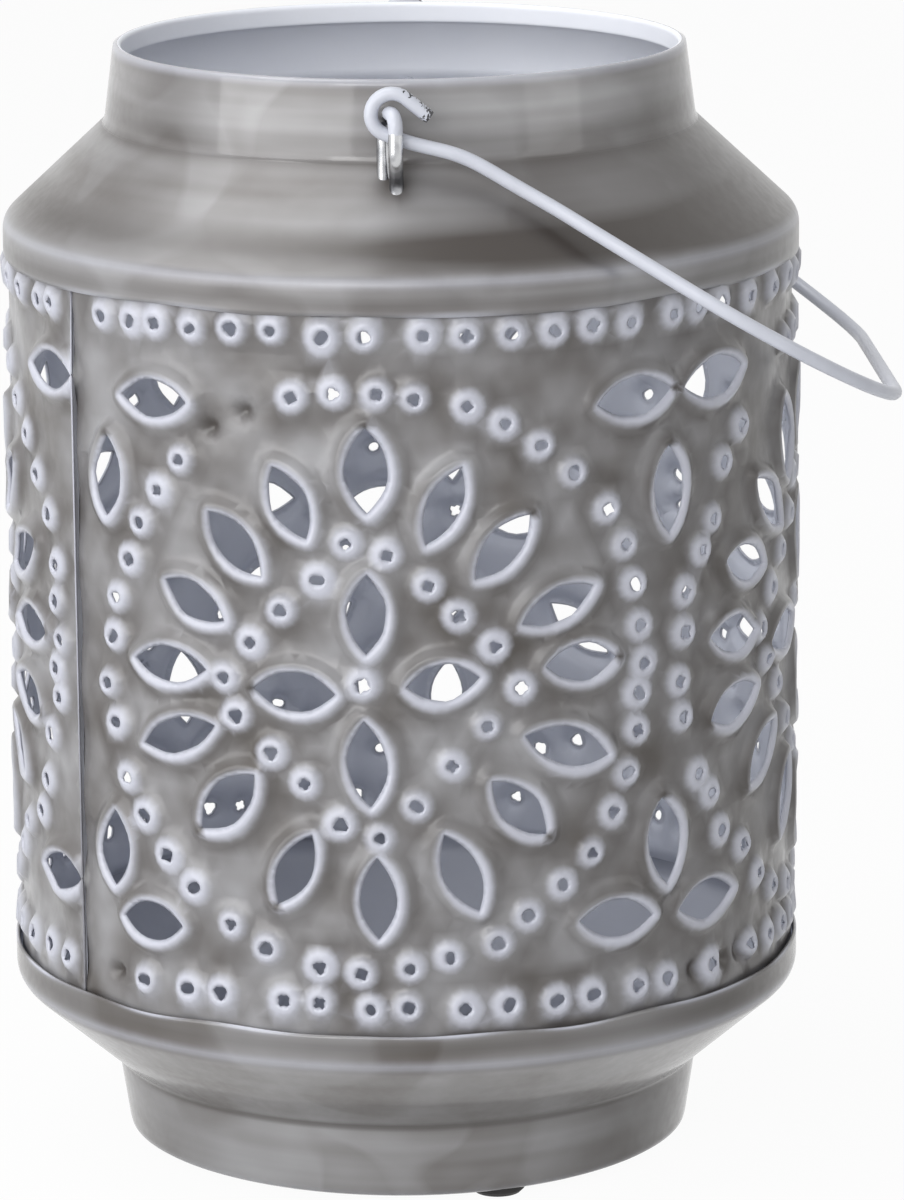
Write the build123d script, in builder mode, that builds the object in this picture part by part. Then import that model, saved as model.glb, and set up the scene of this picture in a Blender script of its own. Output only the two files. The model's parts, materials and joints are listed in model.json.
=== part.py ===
from build123d import *
from math import asin, atan2, cos, degrees, hypot, radians, sin, sqrt, tan
import os

# Punched tin lantern. Millimetres, +Z up, origin at the centre of the candle seat (top of the floor disc).
# The front of the lantern faces -Y, and the wire bail hangs down over the +X side.

# Overall height, from the foot's standing edge to the rim
lantern_height = 221.1

# Sheet metal
sheet = 0.6                # tin sheet of the wall and of both pressed shells
floor_sheet = 0.8          # stiffer disc that carries the candle
flats = 60                 # round sheet pieces are drawn with this many narrow flats
fit_gap = 0.2              # slip fit of the wall in the collar and of the eye wires in their slots

# Rolled wall
wall_radius = 78.5         # outside of the rolled sheet
wall_tuck = 4.0            # wall hidden inside the collar, and again inside the base band
lap_width = 10.0           # overlap of the sheet at its seam
lap_angle = -51.75         # where the overlap's free edge stands, degrees from the front

# Top shell: collar, sloping shoulder, neck and folded rim
collar_height = 7.0
shoulder_height = 19.1
neck_height = 15.0
shoulder_step = 20.6       # how much the neck's foot is inside the collar
neck_taper = 1.5           # how much the rim is inside the neck's foot
collar_bend = 4.5
neck_bend = 1.4
hem_depth = 4.0            # height of the sheet folded inside the rim
hem_bevel = 0.5

# Base shell: band, cone and foot with a turned-in flange
band_height = 7.6
cone_height = 17.8
foot_height = 15.2
band_gap = 0.7             # looser slip fit of the wall in the base band
cone_step = 20.6           # how much the foot's top is inside the band
foot_taper = 2.3           # how much the standing edge is inside the foot's top
band_bend = 4.0
valley_bend = 1.6
foot_bend = 0.8
flange_width = 13.5        # carries the floor disc above and the rubber feet below

# Rubber feet under the flange
pad_radius = 5.4
pad_margin = 1.0           # between a pad and the foot's bend
pad_drop = 2.2             # how far a pad stands out below the foot
pad_bevel = 0.8
pad_count = 3
pad_angle = 22.0           # first pad, degrees from the front

# Punched petals: one rosette on each panel, with leaves in the corners between rosettes
panel_count = 4
panel_pitch = 88.5         # degrees from one rosette to the next; the seam takes the rest
rosette_angle = -4.45      # first rosette, degrees from the front
rosette_height = 68.1      # rosette centre above the base band's edge
petal_length = 16.0
petal_width = 7.2
outer_petals = 16
outer_petal_circle = 40.5
inner_petals = 4
inner_petal_circle = 14.6
leaf_length = 17.0
leaf_width = 8.0
upright_leaf_rise = 34.8   # upright leaves above and below the rosette's centre
level_leaf_top = 53.5      # level leaves above the rosette's centre
level_leaf_bottom = 49.5   # and below it
level_leaf_reach = 10.6    # from the panel's edge to the middle of a level leaf
seam_start = 6.2           # how far the first panel's leaves keep off the lap
seam_end = 5.0             # how far the last panel's leaves close up to the lap

# Wire eyes on the shoulder
wire_sides = 10            # round wire is drawn with this many narrow sides
eye_wire = 2.5
eye_drop = 4.6             # the eye's top bar below the rim
eye_stand = 2.2            # inner leg outside the neck's foot
eye_leg_gap = 0.3          # between the two legs where they enter the shoulder
eye_bend = 1.7
eye_waist = 8.6            # the outer leg starts to turn in this far below the bar
eye_waist_drop = 4.8       # and is close to the inner leg this much lower
eye_tail = 5.0             # clenched ends under the shoulder

# Wire bail
bail_wire = 2.7
bail_side_gap = 0.3        # between the bail wire and each leg of its eye
bail_reach = 114.6         # from the eye to the bail's top run
bail_lift = 2.5            # a leg's middle over the collar's corner, where the bail rests
bail_splay = 13.0          # legs spread outwards, degrees
bail_corner = 38.0
hook_gap = 1.4             # play between the hook and the eye's bar
hook_crank = 28.0          # from the eye's bar to the bend where the leg begins
hook_crank_bend = 80.0
hook_close = 11.0          # how far the hook turns past half way round, degrees
hook_tail = 6.0

# Heights and radii that follow
foot_edge = -(sheet + floor_sheet)
base_height = foot_height + cone_height + band_height
top_height = collar_height + shoulder_height + neck_height
wall_shown = lantern_height - base_height - top_height
seam_height = foot_edge + base_height
collar_edge = seam_height + wall_shown
shoulder_edge = collar_edge + collar_height
neck_foot = shoulder_edge + shoulder_height
rim_height = neck_foot + neck_height
collar_radius = wall_radius + fit_gap + sheet
neck_radius = collar_radius - shoulder_step
rim_radius = neck_radius - neck_taper
band_radius = wall_radius + band_gap + sheet
foot_top_radius = band_radius - cone_step
foot_radius = foot_top_radius - foot_taper
pad_circle = foot_radius - foot_bend - pad_margin - pad_radius
pattern_height = seam_height + rosette_height
half_panel = radians(panel_pitch) * wall_radius / 2
half_flat = radians(180 / flats)
first_flat = radians(lap_angle - 90) + half_flat
section_plane = Plane(
    origin=(0, 0, 0),
    x_dir=(cos(first_flat), sin(first_flat), 0),
    z_dir=(sin(first_flat), -cos(first_flat), 0),
)
bar_height = rim_height - eye_drop
eye_leg_radius = neck_radius + eye_stand
eye_outer_radius = eye_leg_radius + eye_wire + bail_wire + 2 * bail_side_gap
eye_foot_radius = eye_leg_radius + eye_wire + eye_leg_gap
eye_slot = eye_wire + 2 * fit_gap
bail_span = (eye_leg_radius + eye_outer_radius) / 2
hook_radius = eye_wire / 2 + hook_gap + bail_wire / 2

# The bail's rest: each leg passes just over the collar's corner
splay_slope = tan(radians(bail_splay))
leg_start = bail_span - hook_crank * splay_slope
corner_reach = sqrt((1 + splay_slope**2) * collar_radius**2 - leg_start**2) - leg_start * splay_slope
corner_out = corner_reach / (1 + splay_slope**2)
bail_tilt = atan2(bar_height - shoulder_edge - bail_lift, corner_out)


def wall_plane(along, height, turn, centre):
    """Plane just outside the wall, facing out, a distance along the sheet from an angle in degrees."""
    angle = radians(centre) + along / wall_radius
    outward = Vector(sin(angle), -cos(angle), 0)
    across = Vector(cos(angle), sin(angle), 0)
    direction = across * cos(radians(turn)) + Vector(0, 0, 1) * sin(radians(turn))
    start = outward * (wall_radius + 2 * sheet) + Vector(0, 0, height)
    return Plane(origin=start, x_dir=direction, z_dir=outward)


def petal_points(length, width):
    """Corners of a pointed petal, four short sides to each flank, on a circular arc's bulge."""
    quarter = 0.76 * width / 2
    return [
        (-length / 2, 0),
        (-length / 4, -quarter),
        (0, -width / 2),
        (length / 4, -quarter),
        (length / 2, 0),
        (length / 4, quarter),
        (0, width / 2),
        (-length / 4, quarter),
    ]


def bent(points, *radii):
    """A line of points with each inner corner cut across, where a bend of its radius begins and ends."""
    line = [points[0]]
    for before, corner, after, radius in zip(points, points[1:], points[2:], radii):
        back = (Vector(*before) - Vector(*corner)).normalized()
        ahead = (Vector(*after) - Vector(*corner)).normalized()
        length = radius / tan(radians(back.get_angle(ahead)) / 2)
        line.append(tuple(Vector(*corner) + back * length))
        line.append(tuple(Vector(*corner) + ahead * length))
    return line + [points[-1]]


def lining(points, depth):
    """The other face of a sheet: a line of points moved to its left by a depth, with mitred corners."""
    sides = [(Vector(*b) - Vector(*a)).normalized() for a, b in zip(points, points[1:])]
    normals = [Vector(-side.Y, side.X) for side in sides]
    corners = zip(points, [normals[0], *normals], [*normals, normals[-1]])
    return [tuple(Vector(*point) + (m + n) * (depth / (1 + m.dot(n)))) for point, m, n in corners]


def hoop(radius):
    """Points of a closed ring of flats, starting and ending at the middle of one flat."""
    corners = [
        (radius / cos(half_flat) * cos(first_flat + angle), radius / cos(half_flat) * sin(first_flat + angle))
        for angle in (half_flat * (2 * i + 1) for i in range(flats))
    ]
    start = (radius * cos(first_flat), radius * sin(first_flat))
    return [start, *corners, start]


def under_shoulder(radius):
    """Height of the shoulder's inner face at a distance from the axis."""
    slope = shoulder_height / (collar_radius - neck_radius)
    thickness = sheet * (1 + slope**2) ** 0.5
    return shoulder_edge + (collar_radius - radius) * slope - thickness


# Where each petal is punched
petals = []
leaves = []
for panel in range(panel_count):
    middle = rosette_angle + panel * panel_pitch
    for count, circle in ((outer_petals, outer_petal_circle), (inner_petals, inner_petal_circle)):
        for i in range(count):
            turn = 360 / count * i
            along = circle * cos(radians(turn))
            height = pattern_height + circle * sin(radians(turn))
            petals.append(wall_plane(along, height, turn, middle))
    left_edge = -half_panel + (seam_start if panel == 0 else 0)
    right_edge = half_panel + (seam_end if panel == panel_count - 1 else 0)
    for height in (pattern_height + level_leaf_top, pattern_height - level_leaf_bottom):
        leaves.append(wall_plane(left_edge + level_leaf_reach, height, 0, middle))
        leaves.append(wall_plane(right_edge - level_leaf_reach, height, 0, middle))
    for height in (pattern_height + upright_leaf_rise, pattern_height - upright_leaf_rise):
        leaves.append(wall_plane(left_edge, height, 90, middle))

# Punched wall: rolled sheet, lapped at its seam and cut through by the petals
with BuildPart() as punched_wall:
    with BuildSketch(Plane.XY.offset(seam_height - wall_tuck)):
        Polygon(*hoop(wall_radius), align=None)
        Polygon(*hoop(wall_radius - sheet), align=None, mode=Mode.SUBTRACT)
    extrude(amount=wall_shown + 2 * wall_tuck)
    with BuildSketch(wall_plane(-lap_width / 2, seam_height + wall_shown / 2, 0, lap_angle).offset(-sheet)):
        Rectangle(lap_width, wall_shown - 2 * fit_gap)
    extrude(amount=-1.8 * sheet)
    with BuildSketch(*petals):
        Polygon(*petal_points(petal_length, petal_width), align=None)
    with BuildSketch(*leaves):
        Polygon(*petal_points(leaf_length, leaf_width), align=None)
    extrude(amount=-4 * sheet, mode=Mode.SUBTRACT)
punched_wall.part.label = "punched_wall"

# Top shell: collar, shoulder and neck, the rim folded inwards, and slots for the eyes' legs
with BuildPart() as neck_shoulder:
    with BuildLine(Plane.XY.offset(collar_edge)) as collar_ring:
        Polyline(*hoop(collar_radius))
    with BuildSketch(section_plane):
        with BuildLine():
            top_line = [
                (collar_radius, collar_edge),
                (collar_radius, shoulder_edge),
                (neck_radius, neck_foot),
                (rim_radius, rim_height - hem_bevel),
            ]
            top_face = bent(top_line, collar_bend, neck_bend)
            Polyline(*top_face, *reversed(lining(top_face, sheet)), close=True)
        make_face()
        with BuildLine():
            Polyline(
                (rim_radius, rim_height - hem_bevel),
                (rim_radius - hem_bevel, rim_height),
                (rim_radius - 3 * sheet + hem_bevel, rim_height),
                (rim_radius - 3 * sheet, rim_height - hem_bevel),
                (rim_radius - 3 * sheet, rim_height - hem_depth),
                (rim_radius - sheet / 2, rim_height - hem_depth),
                close=True,
            )
        make_face()
    sweep(path=collar_ring.wire(), transition=Transition.RIGHT)
    with BuildSketch(Plane.XY.offset(shoulder_edge)):
        for side in (-1, 1):
            with Locations((0, side * (eye_leg_radius + eye_foot_radius) / 2)):
                Rectangle(eye_slot, eye_foot_radius - eye_leg_radius + eye_slot)
    extrude(amount=shoulder_height, mode=Mode.SUBTRACT)
neck_shoulder.part.label = "neck_shoulder"

# Base shell: band, cone, foot and turned-in flange
with BuildPart() as base_shell:
    with BuildLine(Plane.XY.offset(seam_height)) as band_ring:
        Polyline(*hoop(band_radius))
    with BuildSketch(section_plane):
        with BuildLine():
            base_line = [
                (band_radius, seam_height),
                (band_radius, seam_height - band_height),
                (foot_top_radius, foot_edge + foot_height),
                (foot_radius, foot_edge),
                (foot_radius - flange_width, foot_edge),
            ]
            base_face = bent(base_line, band_bend, valley_bend, foot_bend)
            Polyline(*base_face, *reversed(lining(base_face, -sheet)), close=True)
        make_face()
    sweep(path=band_ring.wire(), transition=Transition.RIGHT)
base_shell.part.label = "base_shell"

# Floor disc, lying on the flange: its top is the candle seat
with BuildPart() as floor_plate:
    with BuildSketch(Plane.XY.offset(-floor_sheet)):
        Circle(foot_radius - sheet - foot_bend)
    extrude(amount=floor_sheet)
floor_plate.part.label = "floor_plate"

# Rubber feet, stuck under the flange close to the standing edge
pads = []
for i in range(pad_count):
    angle = radians(pad_angle + 360 / pad_count * i)
    with BuildPart() as pad:
        centre = (pad_circle * sin(angle), -pad_circle * cos(angle), foot_edge)
        with BuildSketch(Plane(origin=centre, z_dir=(0, 0, -1))):
            Circle(pad_radius)
        extrude(amount=pad_drop)
        chamfer(pad.faces().sort_by(Axis.Z)[0].edges(), pad_bevel)
    pad.part.label = f"rubber_foot_{i + 1}"
    pads.append(pad)

# Wire eyes: a bent loop whose two legs pass through the shoulder and are clenched under it
eyes = []
for side, name in ((-1, "eye_front"), (1, "eye_back")):
    inner_tail = under_shoulder(hypot(eye_leg_radius + eye_wire / 2, eye_tail)) - eye_wire / 2
    outer_tail = under_shoulder(hypot(eye_foot_radius + eye_wire / 2, eye_tail)) - eye_wire / 2
    waist = bar_height - eye_waist
    eye_line = [
        (-side * eye_tail, side * eye_leg_radius, inner_tail),
        (0, side * eye_leg_radius, inner_tail),
        (0, side * eye_leg_radius, bar_height),
        (0, side * eye_outer_radius, bar_height),
        (0, side * eye_outer_radius, waist),
        (0, side * eye_foot_radius, waist - eye_waist_drop),
        (0, side * eye_foot_radius, outer_tail),
        (side * eye_tail, side * eye_foot_radius, outer_tail),
    ]
    with BuildPart() as eye:
        with BuildLine() as eye_path:
            Polyline(*bent(eye_line, *[eye_bend] * (len(eye_line) - 2)))
        with BuildSketch(Plane(origin=eye_path.line @ 0, z_dir=eye_path.line % 0)):
            RegularPolygon(eye_wire / 2, wire_sides)
        sweep(transition=Transition.RIGHT)
    eye.part.label = name
    eyes.append(eye)

# Wire bail: splayed legs, round corners, and an open hook at each end round its eye's bar
reach_dir = Vector(cos(bail_tilt), 0, -sin(bail_tilt))
under_dir = Vector(-sin(bail_tilt), 0, -cos(bail_tilt))
axis_point = Vector(0, 0, bar_height)
crank_angle = degrees(asin(hook_radius / hook_crank))
hook_start = 90 - crank_angle
hook_turn = 270 + hook_close - hook_start
spread = bail_span + (bail_reach - hook_crank) * splay_slope


def bail_point(out, under, across):
    """Point of the bail, by its distance out from the hinge, under the leg's line and across."""
    return axis_point + reach_dir * out + under_dir * under + Vector(0, across, 0)


with BuildPart() as bail_handle:
    with BuildLine() as bail_path:
        touch_out = hook_radius * sin(radians(crank_angle))
        touch_under = hook_radius * cos(radians(crank_angle))
        FilletPolyline(
            bail_point(touch_out, touch_under, -bail_span),
            bail_point(hook_crank, 0, -bail_span),
            bail_point(bail_reach, 0, -spread),
            bail_point(bail_reach, 0, spread),
            bail_point(hook_crank, 0, bail_span),
            bail_point(touch_out, touch_under, bail_span),
            radius=(hook_crank_bend, bail_corner, bail_corner, hook_crank_bend),
        )
        for side in (-1, 1):
            angles = [hook_start + hook_turn * k / 2 for k in range(3)]
            bend = [
                bail_point(hook_radius * cos(radians(a)), hook_radius * sin(radians(a)), side * bail_span)
                for a in angles
            ]
            ThreePointArc(*bend)
            end = radians(angles[2] + 90)
            Line(bend[2], bend[2] + reach_dir * hook_tail * cos(end) + under_dir * hook_tail * sin(end))
    with BuildSketch(Plane(origin=bail_path.wire() @ 0, z_dir=bail_path.wire() % 0)):
        RegularPolygon(bail_wire / 2, wire_sides)
    sweep(path=bail_path.wire())
bail_handle.part.label = "bail_handle"

os.makedirs("parts", exist_ok=True)
for piece in (punched_wall, neck_shoulder, base_shell, floor_plate, bail_handle, *eyes, *pads):
    export_step(piece.part, f"parts/{piece.part.label}.step")
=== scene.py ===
"""Punched tin lantern, dressed over its solid frame.

The real lantern is white-lacquered tin. The wall was punched from inside, so every hole has a raised,
torn lip, and a grey wash was brushed over the outside and wiped off the lips. Lengths in this script
are millimetres until a mesh is made, which is in metres. Angles round the lantern start at the front
(-Y) and grow towards the right (+X).
"""

import json
import logging
from dataclasses import dataclass
from enum import Enum
from typing import Any, Sequence

import bpy
import numpy as np
from mathutils import Matrix, Vector
from mathutils.geometry import delaunay_2d_cdt
from numpy.typing import NDArray


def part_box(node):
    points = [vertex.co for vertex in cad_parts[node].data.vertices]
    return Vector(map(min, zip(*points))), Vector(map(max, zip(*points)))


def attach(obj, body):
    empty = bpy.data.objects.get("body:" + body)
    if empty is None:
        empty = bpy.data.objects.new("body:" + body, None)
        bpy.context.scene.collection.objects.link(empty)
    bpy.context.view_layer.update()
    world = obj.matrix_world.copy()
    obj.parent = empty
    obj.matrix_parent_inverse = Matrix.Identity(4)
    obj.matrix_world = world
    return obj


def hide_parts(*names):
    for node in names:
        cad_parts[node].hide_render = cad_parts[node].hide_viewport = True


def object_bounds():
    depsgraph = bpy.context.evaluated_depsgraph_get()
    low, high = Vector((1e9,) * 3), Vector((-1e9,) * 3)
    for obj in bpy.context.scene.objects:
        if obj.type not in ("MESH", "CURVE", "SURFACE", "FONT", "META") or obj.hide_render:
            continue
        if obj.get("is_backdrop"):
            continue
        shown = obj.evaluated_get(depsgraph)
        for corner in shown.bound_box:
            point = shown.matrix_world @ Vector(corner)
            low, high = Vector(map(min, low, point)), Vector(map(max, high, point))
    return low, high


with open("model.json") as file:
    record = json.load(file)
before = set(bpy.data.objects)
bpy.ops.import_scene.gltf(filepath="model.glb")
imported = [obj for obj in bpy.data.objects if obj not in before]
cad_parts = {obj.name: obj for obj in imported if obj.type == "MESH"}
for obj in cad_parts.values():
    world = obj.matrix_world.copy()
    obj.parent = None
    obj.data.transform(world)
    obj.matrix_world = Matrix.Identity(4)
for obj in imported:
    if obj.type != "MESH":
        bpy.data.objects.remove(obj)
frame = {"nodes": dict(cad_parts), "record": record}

Floats = NDArray[np.float64]
Ints = NDArray[np.int64]

MM = 0.001
IMAGE_HEIGHT = 1200
WIRE_SIDES = 16
# Brings a weighted sum of a few cosines back to about unit height
WAVE_GAIN = 1.6
log = logging.getLogger("lantern")


class Body(Enum):
    """The moving groups of the frame."""

    LANTERN = "lantern"
    BAIL = "bail"


class Slot(Enum):
    """The record's material slots."""

    TIN = "lacquered_tin"
    WIRE = "white_painted_wire"
    STEEL = "plated_steel"


class Side(Enum):
    """The lantern's two eyes: the sign of their place along Y."""

    FRONT = -1
    BACK = 1


# Helpers for shapes


def unit(vectors: Floats) -> Floats:
    """Vectors divided by their lengths, along the last axis."""
    return vectors / np.linalg.norm(vectors, axis=-1, keepdims=True)


def smoothstep(low: float, high: float, values: Floats) -> Floats:
    """0 below low, 1 above high, and the cubic 3t^2 - 2t^3 between; low may be the larger one."""
    t = np.clip((values - low) / (high - low), 0.0, 1.0)
    return t * t * (3.0 - 2.0 * t)


def bell(values: Floats, centre: float, width: float) -> Floats:
    """A hump that is 1 at the centre and falls by the exponential of the squared distance in widths."""
    return np.exp(-(((values - centre) / width) ** 2))


def ripple(angles: Floats, seed: int, orders: Sequence[int]) -> Floats:
    """A smooth closed wave of about unit height: cosines of the given orders with seeded phases.

    Args:
        angles: angles round the axis, in radians.
        seed: seed of the phases and weights.
        orders: how many waves each cosine has in a full turn.

    Returns:
        One value for each angle.
    """
    rng = np.random.default_rng(seed)
    phase = rng.uniform(0, 2 * np.pi, len(orders))
    weight = rng.uniform(0.5, 1.0, len(orders))
    waves = np.cos(np.multiply.outer(angles, np.array(orders)) + phase)
    return waves @ (weight / weight.sum()) * WAVE_GAIN


def rounded_line(corners: Sequence[Sequence[float]], radii: Sequence[float], steps: int = 10) -> Floats:
    """A line through corners, each inner corner replaced by an arc of its own radius.

    An arc starts and ends where the bend touches its two sides, and between them its radius vector
    turns evenly from one side's normal to the other's.

    Args:
        corners: points in two or three dimensions.
        radii: bend radius of each inner corner.
        steps: pieces in an arc.

    Returns:
        The points along the line, one row each.
    """
    points = np.asarray(corners, float)
    parts = [points[:1]]
    share = np.linspace(0.0, 1.0, steps + 1)[:, None]
    for before, corner, after, radius in zip(points, points[1:], points[2:], radii):
        back, ahead = unit(before - corner), unit(after - corner)
        half = 0.5 * np.arccos(np.clip(back @ ahead, -1.0, 1.0))
        centre = corner + unit(back + ahead) * (radius / np.sin(half))
        start = corner + back * (radius / np.tan(half)) - centre
        end = corner + ahead * (radius / np.tan(half)) - centre
        turn = np.pi - 2.0 * half
        arc = (np.sin((1 - share) * turn) * start + np.sin(share * turn) * end) / np.sin(turn)
        parts.append(centre + arc)
    return np.vstack([*parts, points[-1:]])


def inset_line(points: Floats, depth: float) -> Floats:
    """A line moved to its left, with mitred corners.

    A point moves along the sum of its two sides' normals, scaled so that both sides move by the depth.

    Args:
        points: radius and height of each point.
        depth: how far the line moves.

    Returns:
        The moved points.
    """
    sides = unit(np.diff(points, axis=0))
    normals = np.column_stack([-sides[:, 1], sides[:, 0]])
    before = np.vstack([normals[:1], normals])
    after = np.vstack([normals, normals[-1:]])
    scale = depth / (1.0 + np.sum(before * after, axis=1, keepdims=True))
    return points + (before + after) * scale


def resampled(points: Floats, spacing: float) -> Floats:
    """The same line with points an even distance apart, by the length run along it.

    Args:
        points: the line's points.
        spacing: about how far apart the new points lie.

    Returns:
        The new points, from end to end.
    """
    along = np.concatenate([[0.0], np.cumsum(np.linalg.norm(np.diff(points, axis=0), axis=1))])
    places = np.linspace(0.0, along[-1], max(2, int(round(along[-1] / spacing)) + 1))
    return np.column_stack([np.interp(places, along, column) for column in points.T])


def grid_faces(rows: int, columns: int, close_rows: bool, close_columns: bool) -> Ints:
    """Quads of a grid of vertices, each from a vertex to the next one in its row and in the next row.

    Args:
        rows: rows of vertices.
        columns: vertices in a row.
        close_rows: whether the last row joins the first.
        close_columns: whether the last vertex of a row joins its first.

    Returns:
        Four vertex numbers for each quad.
    """
    r = np.arange(rows if close_rows else rows - 1)[:, None]
    c = np.arange(columns if close_columns else columns - 1)[None, :]
    r2, c2 = (r + 1) % rows, (c + 1) % columns
    corners = [r * columns + c, r * columns + c2, r2 * columns + c2, r2 * columns + c]
    return np.stack(np.broadcast_arrays(*corners), axis=-1).reshape(-1, 4)


def around(angles: Floats, radii: Floats, heights: Floats) -> Floats:
    """Points in space from an angle from the front, a radius and a height."""
    return np.stack([radii * np.sin(angles), -radii * np.cos(angles), heights], axis=-1)


def wire_tube(path: Floats, radii: Floats) -> tuple[Floats, Ints]:
    """A round wire: a circle carried along a path, closed by a flat cap at each end.

    Each circle lies across the path's direction, and its first spoke is that direction crossed with
    the space diagonal, which none of the lantern's wires runs along.

    Args:
        path: points of the centreline.
        radii: the wire's radius at each point.

    Returns:
        Vertices, and quads among them.
    """
    along = unit(np.gradient(path, axis=0))
    spoke = unit(np.cross(along, np.full(3, 1.0 / np.sqrt(3.0))))
    other = np.cross(along, spoke)
    turn = np.linspace(0.0, 2 * np.pi, WIRE_SIDES, endpoint=False)
    ring = np.cos(turn)[None, :, None] * spoke[:, None] + np.sin(turn)[None, :, None] * other[:, None]
    tube = path[:, None] + ring * radii[:, None, None]
    first, last = (np.broadcast_to(end, (1, WIRE_SIDES, 3)) for end in (path[0], path[-1]))
    rows = np.concatenate([first, tube, last])
    return rows.reshape(-1, 3), grid_faces(len(rows), WIRE_SIDES, False, True)


# Helpers for Blender


def linear(colour: str) -> tuple[float, float, float, float]:
    """Turns an sRGB colour to linear, by the standard's straight toe and power curve.

    Args:
        colour: the colour in hex, with its hash sign.

    Returns:
        Red, green, blue and alpha.
    """
    srgb = np.array([int(colour[i:i + 2], 16) for i in (1, 3, 5)]) / 255.0
    values = np.where(srgb <= 0.04045, srgb / 12.92, ((srgb + 0.055) / 1.055) ** 2.4)
    return (*values.tolist(), 1.0)


def add_node(tree: bpy.types.NodeTree, kind: str, inputs: dict[Any, Any] | None = None,
             **settings: Any) -> bpy.types.Node:
    """Adds a node, with its settings, and its inputs set to values or linked to other sockets.

    Args:
        tree: the node tree.
        kind: the node's type.
        inputs: input names or numbers, each with a value or an output socket to link.
        settings: the node's own properties.

    Returns:
        The new node.
    """
    node = tree.nodes.new(kind)
    for name, value in settings.items():
        setattr(node, name, value)
    for name, value in (inputs or {}).items():
        if isinstance(value, bpy.types.NodeSocket):
            tree.links.new(value, node.inputs[name])
        else:
            node.inputs[name].default_value = value
    return node


def new_material(name: str) -> tuple[bpy.types.Material, bpy.types.NodeTree]:
    """Makes an empty node material.

    Args:
        name: the real material and how it was finished.

    Returns:
        The material and its node tree.
    """
    material = bpy.data.materials.new(name)
    material.use_nodes = True
    material.node_tree.nodes.clear()
    return material, material.node_tree


def new_piece(name: str, points: Floats, faces: Ints, finishes: Sequence[bpy.types.Material],
              marks: dict[str, Floats] | None = None, choice: Ints | None = None) -> bpy.types.Object:
    """Makes a smooth mesh object from points in millimetres.

    Args:
        name: the piece's name.
        points: vertices, one row each.
        faces: vertex numbers of each face, one row each.
        finishes: the materials, the outside's first.
        marks: named values at each vertex for the materials to read.
        choice: for each face, the number of its material among the finishes.

    Returns:
        The new object, at the origin and unturned.
    """
    mesh = bpy.data.meshes.new(name)
    mesh.from_pydata((points * MM).tolist(), [], faces.tolist())
    mesh.shade_smooth()
    for finish in finishes:
        mesh.materials.append(finish)
    if choice is not None:
        mesh.polygons.foreach_set("material_index", choice.astype(np.int32))
    for mark, values in (marks or {}).items():
        layer = mesh.attributes.new(mark, "FLOAT", "POINT")
        layer.data.foreach_set("value", values.astype(np.float32))
    mesh.update()
    piece = bpy.data.objects.new(name, mesh)
    bpy.context.scene.collection.objects.link(piece)
    return piece


def settle(piece: bpy.types.Object, body: Body, slot: Slot, *nodes: str) -> bpy.types.Object:
    """Lets a piece ride on its body and stand for its solids, and reports it.

    Args:
        piece: the finished piece.
        body: the body that it moves with.
        slot: its material slot; not used.
        nodes: the solids that it replaces.

    Returns:
        The same piece.
    """
    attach(piece, body.value)
    if nodes:
        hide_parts(*nodes)
    log.info("%s: %d faces, rides on %s", piece.name, len(piece.data.polygons), body.value)
    return piece


# Finishes


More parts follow.
